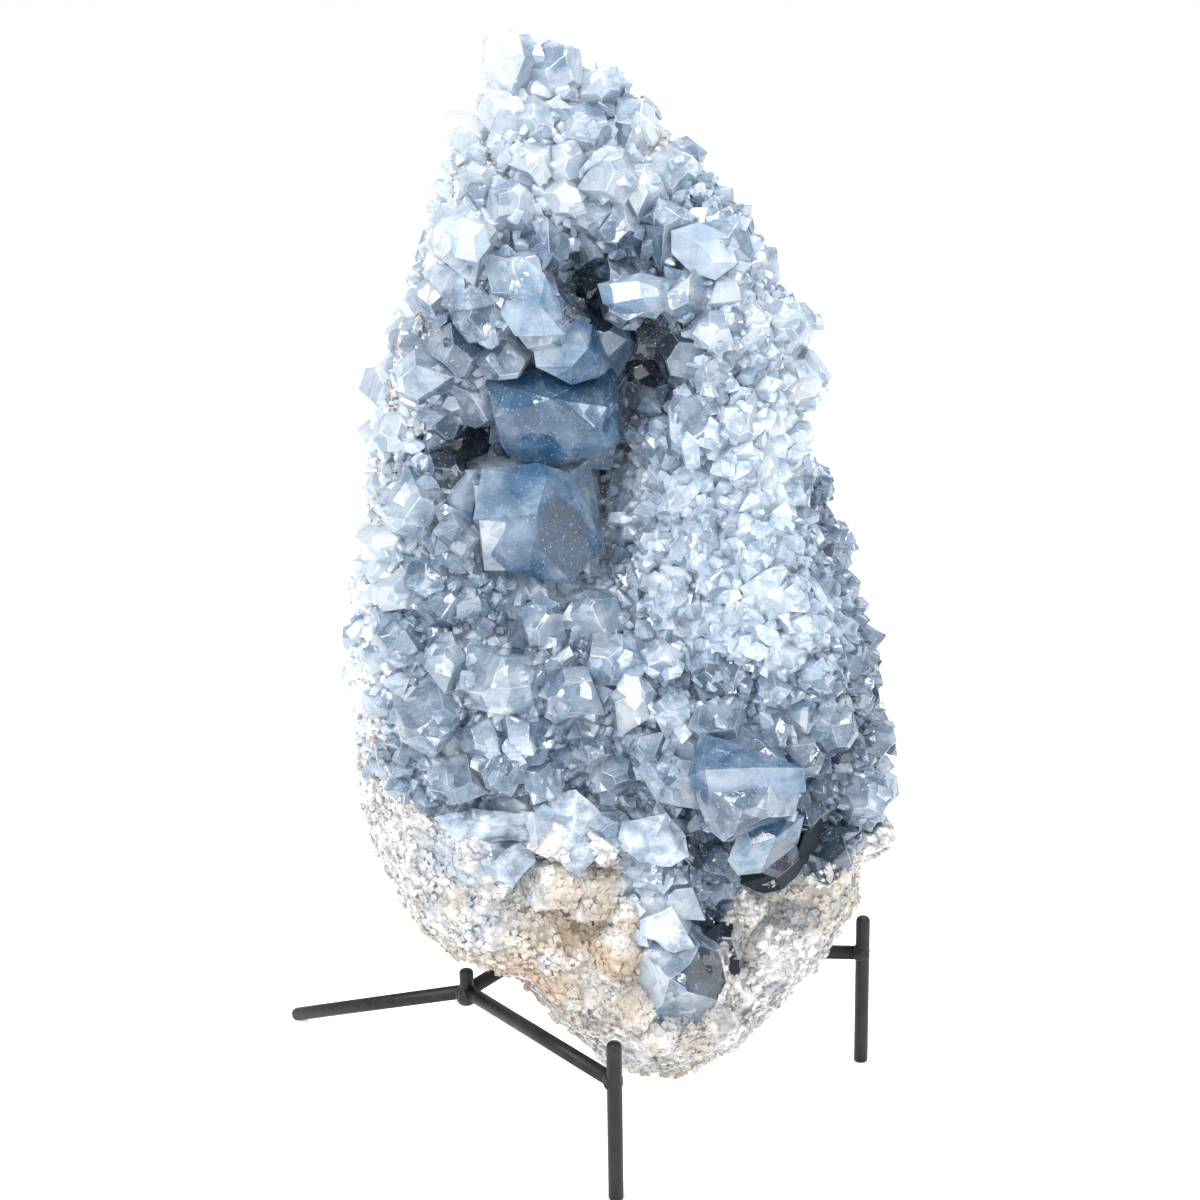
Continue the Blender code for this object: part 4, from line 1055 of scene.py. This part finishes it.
# %% Rod finish
PAINT_DARK, PAINT_WORN = (0.006, 0.0065, 0.008, 1), (0.018, 0.019, 0.022, 1)
rod_paint, tree, shader, where = new_material("satin_black_paint")
specks = node(tree, "ShaderNodeTexNoise", Vector=where, Scale=180.0, Detail=5.0)
shade = mix(tree, spread(tree, specks.outputs[0], 0.4, 0.7), PAINT_DARK, PAINT_WORN)
tree.links.new(shade, shader.inputs["Base Color"])
tree.links.new(spread(tree, specks.outputs[0], 0.3, 0.7, 0.36, 0.55), shader.inputs["Roughness"])
peel = node(tree, "ShaderNodeTexNoise", Vector=where, Scale=900.0, Detail=3.0)
skin = node(tree, "ShaderNodeBump", Strength=0.25, Distance=0.0004, Height=peel.outputs[0])
tree.links.new(skin.outputs[0], shader.inputs["Normal"])
shader.inputs["Specular IOR Level"].default_value = 0.3

# %% Rod shapes
ROD_RADIUS = 3.0
ROD_SIDES = 32


def rod(start, end, low_round, top_round):
    """A round bar between two places, with each end rounded by its own radius in millimetres."""
    bm = bmesh.new()
    a, b = place(*start), place(*end)
    length = (b - a).length
    bmesh.ops.create_cone(bm, cap_ends=True, segments=ROD_SIDES, radius1=ROD_RADIUS * MM,
                          radius2=ROD_RADIUS * MM, depth=length)
    bmesh.ops.translate(bm, verts=bm.verts, vec=(0, 0, length / 2))
    for height, radius in ((0.0, low_round), (length, top_round)):
        ring = [e for e in bm.edges if all(abs(v.co.z - height) < 1e-6 for v in e.verts)]
        if radius:
            bmesh.ops.bevel(bm, geom=ring, offset=radius * MM, affect="EDGES", segments=5, profile=0.5, material=-1)
    for face in bm.faces:
        face.smooth = len(face.verts) == 4
    turn = (b - a).to_track_quat("Z", "Y").to_matrix().to_4x4()
    bmesh.ops.transform(bm, matrix=Matrix.Translation(a) @ turn, verts=bm.verts)
    return bm


# How round the low and the top end of each rod are
ROUND_ENDS = {"front_post": (1.0, 2.2), "right_post": (1.0, 2.2), "rear_prong": (0.3, 1.8), "left_bar": (0, 0),
              "rear_bar": (0, 0), "right_bar": (0, 0.3)}
RIGHT_BAR_STOP = (-31, 126.9, 51)
for name, (low_round, top_round) in ROUND_ENDS.items():
    start, end = RODS[name]
    end = RIGHT_BAR_STOP if name == "right_bar" else end
    to_piece(name + "_rod", rod(start, end, low_round, top_round), rod_paint, [name])

# %% [markdown]
# The sloping leg stands on its rounded end, so a plane cuts a small flat where it meets the table.

# %% Sloping leg
leg_start, leg_foot = (Vector(end) for end in RODS["rear_leg"])
leg_end = leg_foot + (leg_foot - leg_start).normalized() * ROD_RADIUS
leg = rod(leg_start, leg_end, 0, 2.2)
everything = leg.verts[:] + leg.edges[:] + leg.faces[:]
bmesh.ops.bisect_plane(leg, geom=everything, dist=1e-6, plane_co=(0, 0, 0), plane_no=(0, 0, -1), clear_outer=True)
bmesh.ops.holes_fill(leg, edges=[e for e in leg.edges if e.is_boundary])
bmesh.ops.recalc_face_normals(leg, faces=leg.faces)
to_piece("rear_leg_rod", leg, rod_paint, ["rear_leg"])

# %% [markdown]
# Where rods meet, a bead of weld fills the corner. A ball with lumps is close to how such a bead looks
# under paint, so each joint gets one, flattened along the rods and rough from noise.

# %% Weld beads
BEADS = (((-0.6, 1.4, 50.6), 4.1), ((-60.7, 82.3, 49.4), 4.9), ((106.6, 114, 51), 4.0), ((-30, 127, 51), 4.0))
BEAD_ROUGH = 0.16
BEAD_GRAIN = 2.4
beads = bmesh.new()
for spot, radius in BEADS:
    ball = bmesh.ops.create_icosphere(beads, subdivisions=4, radius=radius * MM)["verts"]
    for vert in ball:
        vert.co *= 1 + BEAD_ROUGH * noise.noise(vert.co / (BEAD_GRAIN * MM) + Vector(spot))
    bmesh.ops.translate(beads, verts=ball, vec=place(*spot))
for face in beads.faces:
    face.smooth = True
to_piece("weld_beads", beads, rod_paint)

# %% [markdown]
# ## Table top
# A wide plain white surface, lit a little from below like a light table, so it stays white to its far
# edge. It only catches the soft shadows, so it is one flat sheet.

# %% Table top
PAPER_DARK, PAPER_PALE = (0.90, 0.90, 0.90, 1), (0.92, 0.92, 0.92, 1)
PAPER_GLOW = 0.36
TABLE_SIZE = 14.0
paper, tree, shader, where = new_material("white_paper")
tooth = node(tree, "ShaderNodeTexNoise", Vector=where, Scale=4.0, Detail=2.0)
tree.links.new(mix(tree, tooth.outputs[0], PAPER_DARK, PAPER_PALE), shader.inputs["Base Color"])
shader.inputs["Roughness"].default_value = 0.9
shader.inputs["Emission Color"].default_value = (1, 1, 1, 1)
shader.inputs["Emission Strength"].default_value = PAPER_GLOW
sheet = bmesh.new()
bmesh.ops.create_grid(sheet, x_segments=4, y_segments=4, size=TABLE_SIZE)
table = bpy.data.objects.new("table_top", to_mesh("table_top", sheet))
table.data.materials.append(paper)
bpy.context.collection.objects.link(table)

# %% Drop the spare shapes
for shape in shapes + lumps:
    bpy.data.meshes.remove(shape)
